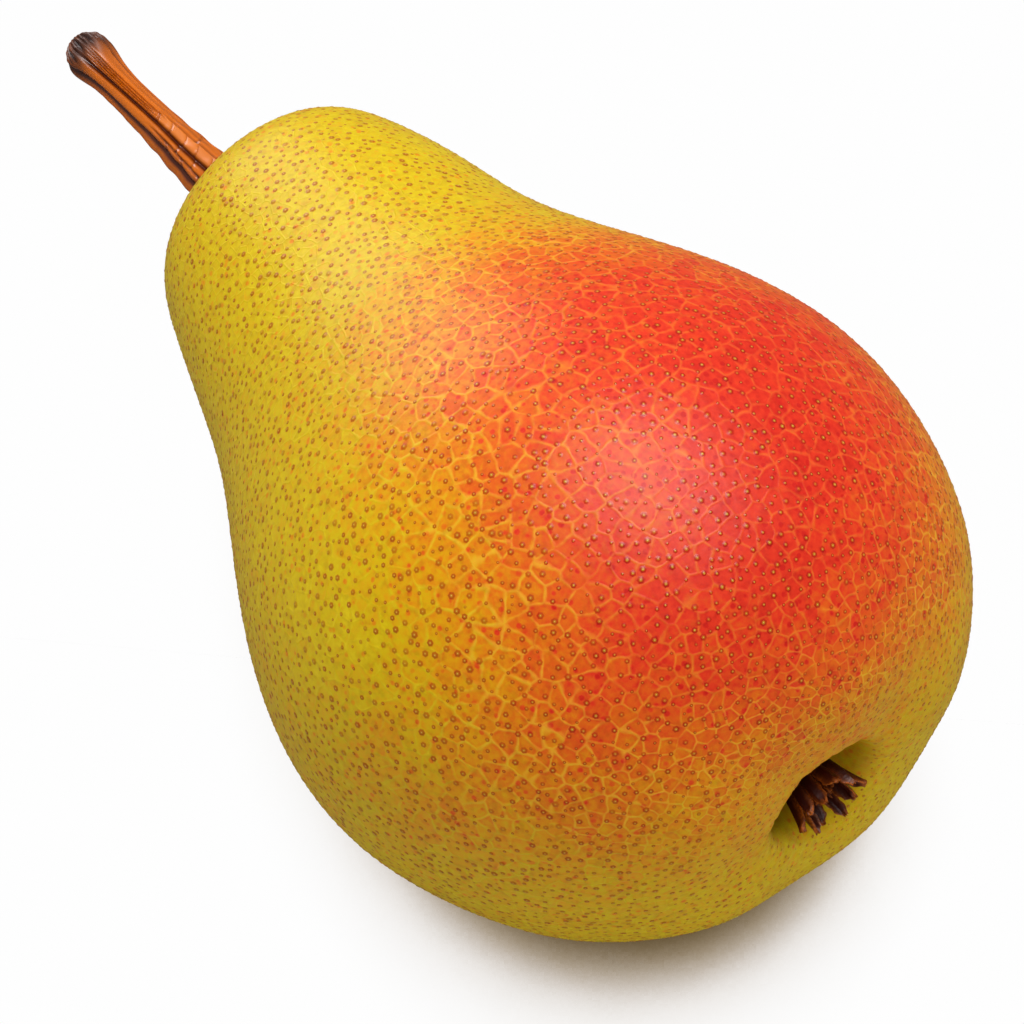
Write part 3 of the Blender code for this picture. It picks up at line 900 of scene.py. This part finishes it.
def scatter(piece, spacing, seed):
    """Scatter spots over the skin, and give them with their normals and steps along its chart."""
    rng = np.random.default_rng(seed)
    mesh = piece.data
    mesh.calc_loop_triangles()
    corners = np.empty(len(mesh.loop_triangles) * 3, np.int32)
    mesh.loop_triangles.foreach_get("vertices", corners)
    corners = corners.reshape(-1, 3)
    points = vertices_of(piece)
    normals = np.empty(len(points) * 3, np.float32)
    mesh.vertices.foreach_get("normal", normals)
    normals = normals.reshape(-1, 3).astype(float)
    a, b, c = points[corners[:, 0]], points[corners[:, 1]], points[corners[:, 2]]
    area = np.linalg.norm(np.cross(b - a, c - a), axis=1)
    tries = int(area.sum() / 2.0 / spacing ** 2 * TRIES_PER_SPOT)
    chosen = corners[rng.choice(len(corners), tries, p=area / area.sum())]
    u, v = rng.random(tries), rng.random(tries)
    over = u + v > 1.0
    u[over], v[over] = 1.0 - u[over], 1.0 - v[over]
    weights = np.stack([1.0 - u - v, u, v], 1)
    spots = (points[chosen] * weights[:, :, None]).sum(1)
    facing = (normals[chosen] * weights[:, :, None]).sum(1)
    facing /= np.linalg.norm(facing, axis=1)[:, None]
    return spots, facing, corner_values(piece, chosen, weights, "stepped"), rng


def thin_out(spots, least):
    """Keep spots in turn, leaving out any closer than its least distance to one kept."""
    size = float(least.max())
    cells = np.floor(spots / size).astype(int)
    kept = []
    grid = {}
    steps = [(i, j, k) for i in (-1, 0, 1) for j in (-1, 0, 1) for k in (-1, 0, 1)]
    for index, (x, y, z) in enumerate(cells.tolist()):
        px, py, pz = spots[index].tolist()
        limit = float(least[index]) ** 2
        near = False
        for i, j, k in steps:
            for qx, qy, qz in grid.get((x + i, y + j, z + k), ()):
                if (px - qx) ** 2 + (py - qy) ** 2 + (pz - qz) ** 2 < limit:
                    near = True
                    break
            if near:
                break
        if not near:
            kept.append(index)
            grid.setdefault((x, y, z), []).append((px, py, pz))
    return np.array(kept)


# A dot's rings: radius as a share of its halo, height in mm, and rise in its colours
DOT_RINGS = [(1.0, -0.012, 0.0), (0.52, 0.008, 0.42), (0.32, 0.034, 0.74)]
DOT_TOP = (0.046, 1.0)
DOT_SIDES = 6
DOT_SHARE_OF_CELL = 0.42
LENTICEL_BANDS = (("eye", -5.0, 14.0), ("belly", 14.0, 34.0), ("waist", 34.0, 58.0),
                  ("neck", 58.0, 100.0))


def dot_shape():
    """Model one dot: a hexagon extruded and narrowed ring by ring, and closed with a point."""
    deselect()
    bpy.ops.mesh.primitive_circle_add(vertices=DOT_SIDES, radius=DOT_RINGS[0][0], fill_type="NGON",
                                      location=(0.0, 0.0, DOT_RINGS[0][1]))
    dot = bpy.context.object
    edit_all()
    for (wide, low, _), (narrow, high, _) in zip(DOT_RINGS, DOT_RINGS[1:]):
        bpy.ops.mesh.extrude_region_move(TRANSFORM_OT_translate={"value": (0.0, 0.0, high - low)})
        bpy.ops.transform.resize(value=(narrow / wide, narrow / wide, 1.0))
    bpy.ops.mesh.poke(offset=DOT_TOP[0] - DOT_RINGS[-1][1])
    bpy.ops.mesh.select_all(action="SELECT")
    bpy.ops.mesh.normals_make_consistent(inside=False)
    bpy.ops.object.mode_set(mode="OBJECT")
    bpy.ops.object.transform_apply(location=True, rotation=False, scale=False)
    shape = vertices_of(dot)
    faces = [tuple(face.vertices) for face in dot.data.polygons]
    bpy.data.objects.remove(dot, do_unlink=True)
    wide = np.hypot(shape[:, 0], shape[:, 1])
    stops = sorted([(radius, rise) for radius, _, rise in DOT_RINGS] + [(0.0, DOT_TOP[1])])
    rise = np.interp(wide, [stop[0] for stop in stops], [stop[1] for stop in stops])
    return shape, faces, rise


def place_lenticels(skin):
    """Choose the dots' places: spots, normals, sizes, and their place on the skin's chart."""
    look = bpy.context.scene.pear_lenticels
    spots, facing, stepped, rng = scatter(skin, look.spacing, look.seed)
    home = on_axis(spots)
    distance = -home[:, 0]
    across = home[:, 1:] - axis_offset(bow_at(distance))[:, 1:]
    radius = np.hypot(across[:, 0], across[:, 1])
    angle = np.arctan2(across[:, 1], across[:, 0])
    shy = ((spots[:, 2] < CLEAR_OF_FLOOR)
           | ((distance > CLEAR_OF_PIT[0]) & (radius < CLEAR_OF_PIT[1]))
           | ((distance < CLEAR_OF_BASIN[0]) & (radius < CLEAR_OF_BASIN[1])))
    near_eye = np.exp(-(radius / EYE_CROWD_RADIUS) ** 2) * (distance < EYE_CROWD_ENDS_AT)
    crowd = 1.0 - EYE_CROWD * near_eye - NECK_CROWD * smooth_step(*NECK_CROWD_SPAN, distance)
    least = look.spacing * crowd * rng.uniform(*SPACING_VARIES, len(spots))
    keep = np.flatnonzero(~shy)
    keep = keep[thin_out(spots[keep], least[keep])]
    size = look.radius * crowd * rng.uniform(*SIZE_VARIES, len(spots)) * (1.0 - EYE_CROWD * near_eye)
    return [values[keep] for values in (spots, facing, distance, radius, angle, stepped, size)], rng


def make_lenticels(skin):
    """Raised dots scattered over the skin, in bands along the pear."""
    (spots, facing, distance, radius, angle, stepped, size), rng = place_lenticels(skin)
    tone = rng.random(len(spots))
    matrix = np.array(TO_FRAME)[:3, :3]
    around = np.stack([0.0 * angle, -np.sin(angle), np.cos(angle)], 1) @ matrix.T
    along = np.cross(around, facing)
    along /= np.linalg.norm(along, axis=1)[:, None]
    around = np.cross(facing, along)
    shape, faces, rise = dot_shape()
    flat = shape[:, :2]
    material = lenticel_material()
    turned = (angle / TURN + 0.25) % 1.0 * TURN
    wide = np.maximum(radius, CHART_LEAST_RADIUS) * MM
    for band, low, high in LENTICEL_BANDS:
        here = np.flatnonzero((distance >= low) & (distance < high))
        count = len(here)
        spin = rng.uniform(0.0, TURN, count)
        cos, sin = np.cos(spin)[:, None], np.sin(spin)[:, None]
        first = (flat[None, :, 0] * cos - flat[None, :, 1] * sin) * size[here][:, None]
        second = (flat[None, :, 0] * sin + flat[None, :, 1] * cos) * size[here][:, None]
        lift = shape[None, :, 2] * (0.5 + 0.5 * size[here] / size.mean())[:, None] * MM
        points = (spots[here][:, None, :] + first[:, :, None] * around[here][:, None, :]
                  + second[:, :, None] * along[here][:, None, :]
                  + lift[:, :, None] * facing[here][:, None, :])
        mesh = bpy.data.meshes.new("lenticels_" + band)
        copies = [tuple(corner + k * len(shape) for corner in face)
                  for k in range(count) for face in faces]
        mesh.from_pydata(points.reshape(-1, 3).tolist(), [], copies)
        piece = bpy.data.objects.new("lenticels_" + band, mesh)
        bpy.context.scene.collection.objects.link(piece)
        mark(piece, "rise", np.tile(rise, count))
        mark(piece, "tone", np.repeat(tone[here], len(shape)))
        corner_map(piece, "surface", (turned[here][:, None] + first / wide[here][:, None]).ravel(),
                   (stepped[here][:, None] + second / wide[here][:, None]).ravel(), 0.0)
        cells = math.ceil(math.sqrt(count))
        row, column = np.divmod(np.arange(count), cells)
        across = column[:, None] + 0.5 + DOT_SHARE_OF_CELL * flat[None, :, 0]
        upward = row[:, None] + 0.5 + DOT_SHARE_OF_CELL * flat[None, :, 1]
        corner_map(piece, "OFBake", across.ravel() / cells, upward.ravel() / cells, 0.0)
        pick(piece)
        bpy.ops.object.shade_smooth_by_angle(angle=math.radians(70.0))
        finish_piece(piece, material)


def stem_center(share):
    """Give the stem's middle line at shares of its length from the foot, on the pear's axis."""
    share = np.atleast_1d(np.asarray(share, float))
    end = bow_at(BODY_LENGTH)[0] + PIT_SHIFT
    place = axis_offset(end + STEM_LEAN * share + STEM_SWAY * 4.0 * share * (1.0 - share))
    place[:, 0] = -STEM_FOOT_AT - STEM_LENGTH * share
    place[:, 2] += STEM_RISE * share * share
    return place


def turned_away(angle, other):
    """Give how far an angle in degrees is turned away from another."""
    return (angle - other + 180.0) % 360.0 - 180.0


def groove_depth(from_tip, degrees):
    """Give how deep the grooves along the stem are."""
    depth = np.zeros_like(from_tip)
    for middle, half_width, deep, start, end in STEM_GROOVES:
        away = turned_away(degrees, middle + GROOVE_TWIST * (np.minimum(from_tip, 16.0) - 12.0))
        away = away + 1.5 * np.sin(from_tip * 0.45 + middle)
        fade = smooth_step(start - GROOVE_FADE, start + GROOVE_FADE, from_tip)
        fade = fade * (1.0 - smooth_step(end - GROOVE_FADE, end + GROOVE_FADE, from_tip))
        depth = np.maximum(depth, deep * fade * np.exp(-(away / half_width) ** 2))
    return depth


def crack_share(from_tip, degrees):
    """Give how near a point of the stem is to a crack across it."""
    crack = np.zeros_like(from_tip)
    for at, low, high in STEM_CRACKS:
        away = turned_away(degrees, 0.5 * (low + high))
        half = 0.5 * (high - low)
        inside = 1.0 - smooth_step(half - 2.0, half + 2.0, np.abs(away))
        bent = at - 0.35 * (away / half) ** 2 + 0.02 * away
        crack = np.maximum(crack, inside * np.exp(-((from_tip - bent) / CRACK_WIDTH) ** 2))
    return crack


def knob_carving(from_tip, angle):
    """Give the depths of the lobes round the knob and of the scallops of its cap."""
    near_knob = smooth_step(0.2, 0.9, from_tip) * (1.0 - smooth_step(2.2, 4.6, from_tip))
    lobes = LOBE_DEPTH * near_knob * (1.0 - np.abs(np.cos(LOBES * angle + 0.4)) ** 0.8)
    scallops = SCALLOP_DEPTH * (1.0 - np.abs(np.cos(SCALLOPS * angle)) ** 0.7)
    scallops = scallops * smooth_step(0.1, 0.4, from_tip) * (1.0 - smooth_step(1.8, 3.4, from_tip))
    rough = np.sin(5.0 * from_tip + 3.0 * angle) * np.sin(7.0 * angle + 1.0)
    rough = CAP_ROUGHNESS * near_knob * (1.0 - smooth_step(1.5, 2.6, from_tip)) * rough
    return lobes, scallops + rough


def flange_height(from_tip, degrees):
    """Give the height of the thin edge that stands along one side of the stem."""
    height = FLANGE_HEIGHT + 0.02 * np.sin(1.7 * from_tip) + 0.01 * np.sin(3.9 * from_tip + 1.0)
    height = height * np.exp(-(turned_away(degrees, FLANGE_ANGLE) / FLANGE_WIDTH) ** 2)
    return height * smooth_step(3.0, 7.0, from_tip)


def make_stem():
    """The woody stem: a spun outline with grooves along it, cracks across it and a lobed knob."""
    look = bpy.context.scene.pear_stem
    outline = np.vstack([smooth_outline(STEM_OUTLINE, look.spacing / MM), [(STEM_LENGTH, 0.0)]])
    piece = spun("pear_stem", outline, look.sides)
    from_tip, radius, angle = spun_coordinates(piece)
    degrees = np.degrees(angle) % 360.0
    whole = smooth_step(0.4, 1.9, radius)
    depth = groove_depth(from_tip, degrees)
    crack = crack_share(from_tip, degrees)
    low, high = PLATE_ANGLES
    plate = smooth_step(low, low + 4.0, degrees) * (1.0 - smooth_step(high - 4.0, high, degrees))
    plate = plate * smooth_step(14.6, 15.2, from_tip) * (1.0 - crack)
    lobes, scallops = knob_carving(from_tip, angle)
    flange = flange_height(from_tip, degrees)
    lump = LUMP_HEIGHT * np.sin(1.9 * from_tip + 2.0 * angle) * smooth_step(12.0, 18.0, from_tip)
    carved = depth + CRACK_DEPTH * crack + lobes + scallops + lump - flange + PLATE_DEPTH * plate
    reduced = radius - whole * carved
    place = stem_center(1.0 - from_tip / STEM_LENGTH)
    place[:, 1] += reduced * np.cos(angle)
    place[:, 2] += reduced * np.sin(angle)
    move_vertices(piece, in_frame(place))
    # painted shade: grooves, cracks, lobes and scallops darken by their depth, and the raised flange
    # darkens by its height
    dark = depth / 0.34 + 0.4 * crack + lobes / 0.3 + scallops / 0.35
    dark = dark + 4.0 * np.maximum(flange, 0.0)
    mark(piece, "shade_and_dark_wood", np.clip(dark, 0.0, 1.0))
    mark(piece, "plate", np.clip(0.5 * plate - 3.0 * depth, 0.0, 1.0))
    mark(piece, "along", from_tip)
    outward_again(piece, 70.0)
    finish_piece(piece, stem_material(), "stem")


def unit_strap(name, stations, sides):
    """A closed tube, 1 mm in radius and 1 mm long, ready to be shaped."""
    wall = [(share, 1.0) for share in np.linspace(0.0, 1.0, stations)]
    return spun(name, [(0.0, 0.0)] + wall + [(1.0, 0.0)], sides)


def around(angle):
    """Give the outward and sideways directions at an angle round the pear's axis."""
    outward = np.array([0.0, math.cos(angle), math.sin(angle)])
    sideways = np.array([0.0, -math.sin(angle), math.cos(angle)])
    return outward, sideways


def eye_floor():
    """Give the middle of the basin's floor on the pear's axis, where the calyx sits."""
    base = axis_offset(bow_at(BASIN[0][0]))[0]
    base[0] = -BASIN[0][0] + CALYX_FLOOR_GAP
    return base


def shape_strap(piece, root, outward, sideways, length, width, thickness, spread, curl, rng):
    """Bend a unit strap into a dried lobe that rises, leans outward and curls at its blunt tip."""
    along, radius, angle = spun_coordinates(piece)
    share = np.clip(along, 0.0, 1.0)
    phases = rng.uniform(0.0, TURN, 4)
    wide = 0.5 * width * (0.72 + 0.28 * np.sin(math.pi * np.clip(0.15 + 0.8 * share, 0.0, 1.0)))
    wide = wide * np.sqrt(np.clip(1.0 - 0.85 * smooth_step(0.82, 1.0, share) ** 2, 0.0, 1.0))
    ragged = 1.0 + 0.05 * np.sin(13.0 * share + phases[0]) + 0.06 * np.sin(37.0 * share + phases[1])
    across = radius * np.cos(angle) * wide * ragged
    ribs = 1.0 + 0.5 * np.cos(5.0 * angle + 0.4 * np.sin(phases[2])) * smooth_step(0.1, 0.3, share)
    deep = radius * np.sin(angle) * 0.5 * thickness * ribs
    folded = CUPPING * np.abs(across) ** 1.5 / math.sqrt(0.5 * max(width, 0.1))
    cupped = folded * (1.0 - 0.5 * smooth_step(0.8, 1.0, share))
    bend = spread * share ** 2 + curl * smooth_step(0.6, 1.0, share) ** 2
    reach = length * (share - 0.12 * abs(curl) * smooth_step(0.75, 1.0, share))
    reach = reach + 0.02 * length * np.sin(6.0 * angle + phases[3]) * smooth_step(0.95, 1.0, share)
    slope = 2.0 * spread * share + 2.0 * curl * smooth_step(0.6, 1.0, share)
    lean = np.arctan2(slope, length)
    place = (root[None, :] + np.outer(reach, (1.0, 0.0, 0.0)) + np.outer(bend, outward)
             + np.outer(across, sideways)
             + ((deep - cupped) * np.cos(lean))[:, None] * outward[None, :]
             - ((deep - cupped) * np.sin(lean))[:, None] * np.array([[1.0, 0.0, 0.0]]))
    move_vertices(piece, in_frame(place))
    edge = 0.95 * np.abs(np.cos(angle)) ** 5 + 0.45 * smooth_step(0.9, 1.0, share)
    mark(piece, "rim", np.clip(edge * smooth_step(0.3, 0.7, share), 0.0, 1.0))
    mark(piece, "reach", share)


def joined(name, pieces):
    """Join pieces into one object."""
    pick(*pieces)
    bpy.ops.object.join()
    pieces[0].name = name
    pieces[0].data.name = name
    return pieces[0]


def copy_of(piece, name):
    """Copy a piece with its own mesh."""
    copy = piece.copy()
    copy.data = piece.data.copy()
    copy.name = name
    bpy.context.scene.collection.objects.link(copy)
    return copy


def small_disc(name, base, radius, thickness, sides):
    """A small rounded disc across the pear's axis."""
    piece = spun(name, [(0.0, 0.0), (0.0, 0.9 * radius), (-0.25 * thickness, radius),
                        (-thickness, 0.82 * radius), (-thickness, 0.0)], sides)
    points = vertices_of(piece) / MM
    move_vertices(piece, in_frame(points + base[None, :]))
    mark(piece, "rim", np.zeros(len(points)))
    mark(piece, "reach", np.zeros(len(points)))
    return piece


def make_calyx():
    """The ring of dried sepals on a small disc."""
    look = bpy.context.scene.pear_calyx
    rng = np.random.default_rng(look.seed)
    base = eye_floor()
    parts = [small_disc("pear_calyx", base, DISC_RADIUS, DISC_THICKNESS, 32)]
    model = unit_strap("strap", SEPAL_STATIONS, SEPAL_SIDES)
    for k in range(SEPAL_COUNT):
        outward, sideways = around(TURN * k / SEPAL_COUNT + rng.uniform(-0.06, 0.06))
        uneven = math.sin(2.4 * k)
        strap = copy_of(model, f"sepal_{k}")
        shape_strap(strap, base + outward * SEPAL_ROOT_RADIUS + STRAP_RAISED, outward, sideways,
                    look.length / MM + 0.4 * uneven, look.width / MM * rng.uniform(0.85, 1.1),
                    SEPAL_THICKNESS, SEPAL_SPREAD - 0.35 * uneven, rng.uniform(-0.7, 0.05), rng)
        parts.append(strap)
    bpy.data.objects.remove(model, do_unlink=True)
    piece = joined("pear_calyx", parts)
    outward_again(piece, 60.0)
    finish_piece(piece, calyx_material(), "calyx")


def make_stamens():
    """The tuft of stamens and styles on its own button."""
    look = bpy.context.scene.pear_calyx
    rng = np.random.default_rng(look.seed + 1)
    base = eye_floor() + (DISC_THICKNESS + 0.3, 0.0, 0.0)
    parts = [small_disc("pear_stamens", base, 1.3, 0.8, 24)]
    model = unit_strap("filament", 12, 8)
    for k in range(STAMEN_COUNT + STYLE_COUNT):
        inner = k >= STAMEN_COUNT
        ring, count = (STYLE_RING, STYLE_COUNT) if inner else (STAMEN_RING, STAMEN_COUNT)
        outward, sideways = around(TURN * k / count + rng.uniform(-0.1, 0.1))
        thread = copy_of(model, f"filament_{k}")
        shape_strap(thread, base + outward * ring + STRAP_RAISED, outward, sideways,
                    rng.uniform(2.9, 3.9), THREAD_THICKNESS, THREAD_THICKNESS,
                    rng.uniform(-0.2, 0.45), rng.uniform(-0.2, 0.3), rng)
        parts.append(thread)
    bpy.data.objects.remove(model, do_unlink=True)
    piece = joined("pear_stamens", parts)
    outward_again(piece, 60.0)
    finish_piece(piece, calyx_material(), "stamens")


def camera_axes():
    """Give the camera's right, up and back directions."""
    azimuth, elevation = math.radians(CAMERA_AZIMUTH), math.radians(CAMERA_ELEVATION)
    back = Vector((math.sin(azimuth) * math.cos(elevation), -math.cos(azimuth) * math.cos(elevation),
                   math.sin(elevation)))
    right = Vector((math.cos(azimuth), math.sin(azimuth), 0.0))
    return right, back.cross(right), back


def make_camera():
    """The camera at the photograph's viewing angle."""
    right, up, back = camera_axes()
    lens = bpy.data.cameras.new("camera")
    lens.lens = CAMERA_LENS
    lens.sensor_width = SENSOR_WIDTH
    lens.clip_start = 0.01
    camera = bpy.data.objects.new("camera", lens)
    bpy.context.scene.collection.objects.link(camera)
    turn = Matrix((right, up, back)).transposed().to_4x4()
    camera.matrix_world = Matrix.Translation(Vector(CAMERA_AIM) + CAMERA_DISTANCE * back) @ turn
    bpy.context.scene.camera = camera


def add_light(name, direction, distance, size, power, glossy):
    """A soft round light that faces the pear, and shows either in gloss or in plain light."""
    lamp = bpy.data.lights.new(name, "AREA")
    lamp.shape = "DISK"
    lamp.size = size
    lamp.energy = power
    light = bpy.data.objects.new(name, lamp)
    bpy.context.scene.collection.objects.link(light)
    light.visible_glossy = glossy
    light.visible_diffuse = not glossy
    direction = Vector(direction).normalized()
    light.location = Vector(CAMERA_AIM) + distance * direction
    light.rotation_euler = direction.to_track_quat("Z", "Y").to_euler()


def stage_floor():
    """A white floor that glows for the camera, with a painted contact shadow from ambient occlusion,
    as in an overexposed product picture.
    """
    look = bpy.context.scene.pear_stage
    deselect()
    bpy.ops.mesh.primitive_plane_add(size=FLOOR_SIZE, location=(0.0, 0.0, 0.0))
    floor = bpy.context.object
    floor.name = "floor"
    material, tree, shader = plain_shader("white_floor", 1.0, 0.0)
    rays = node(tree, "LightPath").outputs
    lighting = calc(tree, "MULTIPLY_ADD", rays["Is Glossy Ray"], look.floor_mirrored - FLOOR_WHITE,
                    FLOOR_WHITE)
    white = node(tree, "CombineColor", {"Red": lighting, "Green": lighting, "Blue": lighting})
    tree.links.new(white.outputs["Color"], shader.inputs["Base Color"])
    lean = vector_calc(tree, "NORMALIZE", (*FLOOR_LEAN, 1.0))
    shut_in = node(tree, "AmbientOcclusion", {"Distance": FLOOR_REACH, "Normal": lean}, samples=64)
    shade = color_ramp(tree, shut_in.outputs["AO"],
                       [(stop, seen(*color)) for stop, color in FLOOR_SHADES])
    glow = node(tree, "Emission", {"Color": shade})
    # painted shadow: the camera sees the floor glowing in the ambient occlusion's shades, the lights
    # see plain white
    mixed = node(tree, "MixShader", {0: rays["Is Camera Ray"], 1: shader.outputs[0],
                                     2: glow.outputs[0]})
    tree.links.new(mixed.outputs[0], tree.nodes["Material Output"].inputs["Surface"])
    floor.data.materials.append(material)


def make_stage():
    """White floor, white surroundings, overhead lights and a low side light."""
    look = bpy.context.scene.pear_stage
    stage_floor()
    world = bpy.data.worlds.new("surroundings")
    bpy.context.scene.world = world
    world.use_nodes = True
    tree = world.node_tree
    rays = node(tree, "LightPath").outputs
    strength = calc(tree, "MULTIPLY_ADD", rays["Is Camera Ray"], 1.0 - look.sky, look.sky)
    strength = calc(tree, "MULTIPLY_ADD", rays["Is Glossy Ray"], look.mirrored_sky - look.sky,
                    strength)
    tree.links.new(strength, tree.nodes["Background"].inputs["Strength"])
    tree.nodes["Background"].inputs["Color"].default_value = (1.0, 1.0, 1.0, 1.0)
    right, up, back = camera_axes()
    behind = 0.71 * up + 0.70 * back
    low_right = 0.8 * right - 0.45 * up + 0.35 * back
    overhead = 0.15 * right + 0.62 * up + 0.77 * back
    low_left = (-0.98, 0.15, 0.12)
    add_light("key_light", behind, 0.9, 0.5, look.key_power, False)
    add_light("reflector", low_right, 0.8, 0.5, look.reflector_power, False)
    add_light("gloss_light", overhead, 0.9, 0.6, look.gloss_power, True)
    add_light("side_gloss", low_left, 0.8, 0.5, look.side_power, True)
    bpy.context.scene.view_settings.view_transform = "Standard"
    make_camera()


class PEAR_OT_skin(Operator):
    """Build the fruit's skin"""
    bl_idname = "pear.skin"
    bl_label = "Skin"

    def execute(self, context):
        make_skin()
        return {"FINISHED"}


class PEAR_OT_lenticels(Operator):
    """Scatter the raised dots over the skin"""
    bl_idname = "pear.lenticels"
    bl_label = "Lenticels"

    def execute(self, context):
        make_lenticels(bpy.data.objects["pear_skin"])
        return {"FINISHED"}


class PEAR_OT_stem(Operator):
    """Build the woody stem"""
    bl_idname = "pear.stem"
    bl_label = "Stem"

    def execute(self, context):
        make_stem()
        return {"FINISHED"}


class PEAR_OT_calyx(Operator):
    """Build the dried sepals"""
    bl_idname = "pear.calyx"
    bl_label = "Calyx"

    def execute(self, context):
        make_calyx()
        return {"FINISHED"}


class PEAR_OT_stamens(Operator):
    """Build the tuft inside the sepals"""
    bl_idname = "pear.stamens"
    bl_label = "Stamens"

    def execute(self, context):
        make_stamens()
        return {"FINISHED"}


class PEAR_OT_stage(Operator):
    """Set up the floor, the lights and the camera"""
    bl_idname = "pear.stage"
    bl_label = "Stage"

    def execute(self, context):
        make_stage()
        return {"FINISHED"}


OPERATORS = (PEAR_OT_skin, PEAR_OT_lenticels, PEAR_OT_stem, PEAR_OT_calyx, PEAR_OT_stamens,
             PEAR_OT_stage)
SETTINGS = {"pear_skin": PearSkinSettings, "pear_lenticels": PearLenticelSettings,
            "pear_stem": PearStemSettings, "pear_calyx": PearCalyxSettings,
            "pear_stage": PearStageSettings}


class PEAR_PT_sidebar(Panel):
    """Lists the pear's settings and the operators that build it"""
    bl_idname = "PEAR_PT_sidebar"
    bl_label = "Pear"
    bl_space_type = "VIEW_3D"
    bl_region_type = "UI"
    bl_category = "Pear"

    def draw(self, context):
        for name, settings in SETTINGS.items():
            box = self.layout.box()
            for key in settings.__annotations__:
                box.prop(getattr(context.scene, name), key)
        for operator in OPERATORS:
            self.layout.operator(operator.bl_idname)


def register():
    """Register the settings, the operators and the panel."""
    for settings in SETTINGS.values():
        bpy.utils.register_class(settings)
    for name, settings in SETTINGS.items():
        setattr(bpy.types.Scene, name, PointerProperty(type=settings))
    for operator in OPERATORS:
        bpy.utils.register_class(operator)
    bpy.utils.register_class(PEAR_PT_sidebar)


def unregister():
    """Take away what register has added."""
    bpy.utils.unregister_class(PEAR_PT_sidebar)
    for operator in reversed(OPERATORS):
        bpy.utils.unregister_class(operator)
    for name, settings in SETTINGS.items():
        delattr(bpy.types.Scene, name)
        bpy.utils.unregister_class(settings)


def main():
    """Build every piece."""
    register()
    bpy.ops.pear.skin()
    bpy.ops.pear.lenticels()
    bpy.ops.pear.stem()
    bpy.ops.pear.calyx()
    bpy.ops.pear.stamens()
    bpy.ops.pear.stage()


if __name__ == "__main__":
    main()
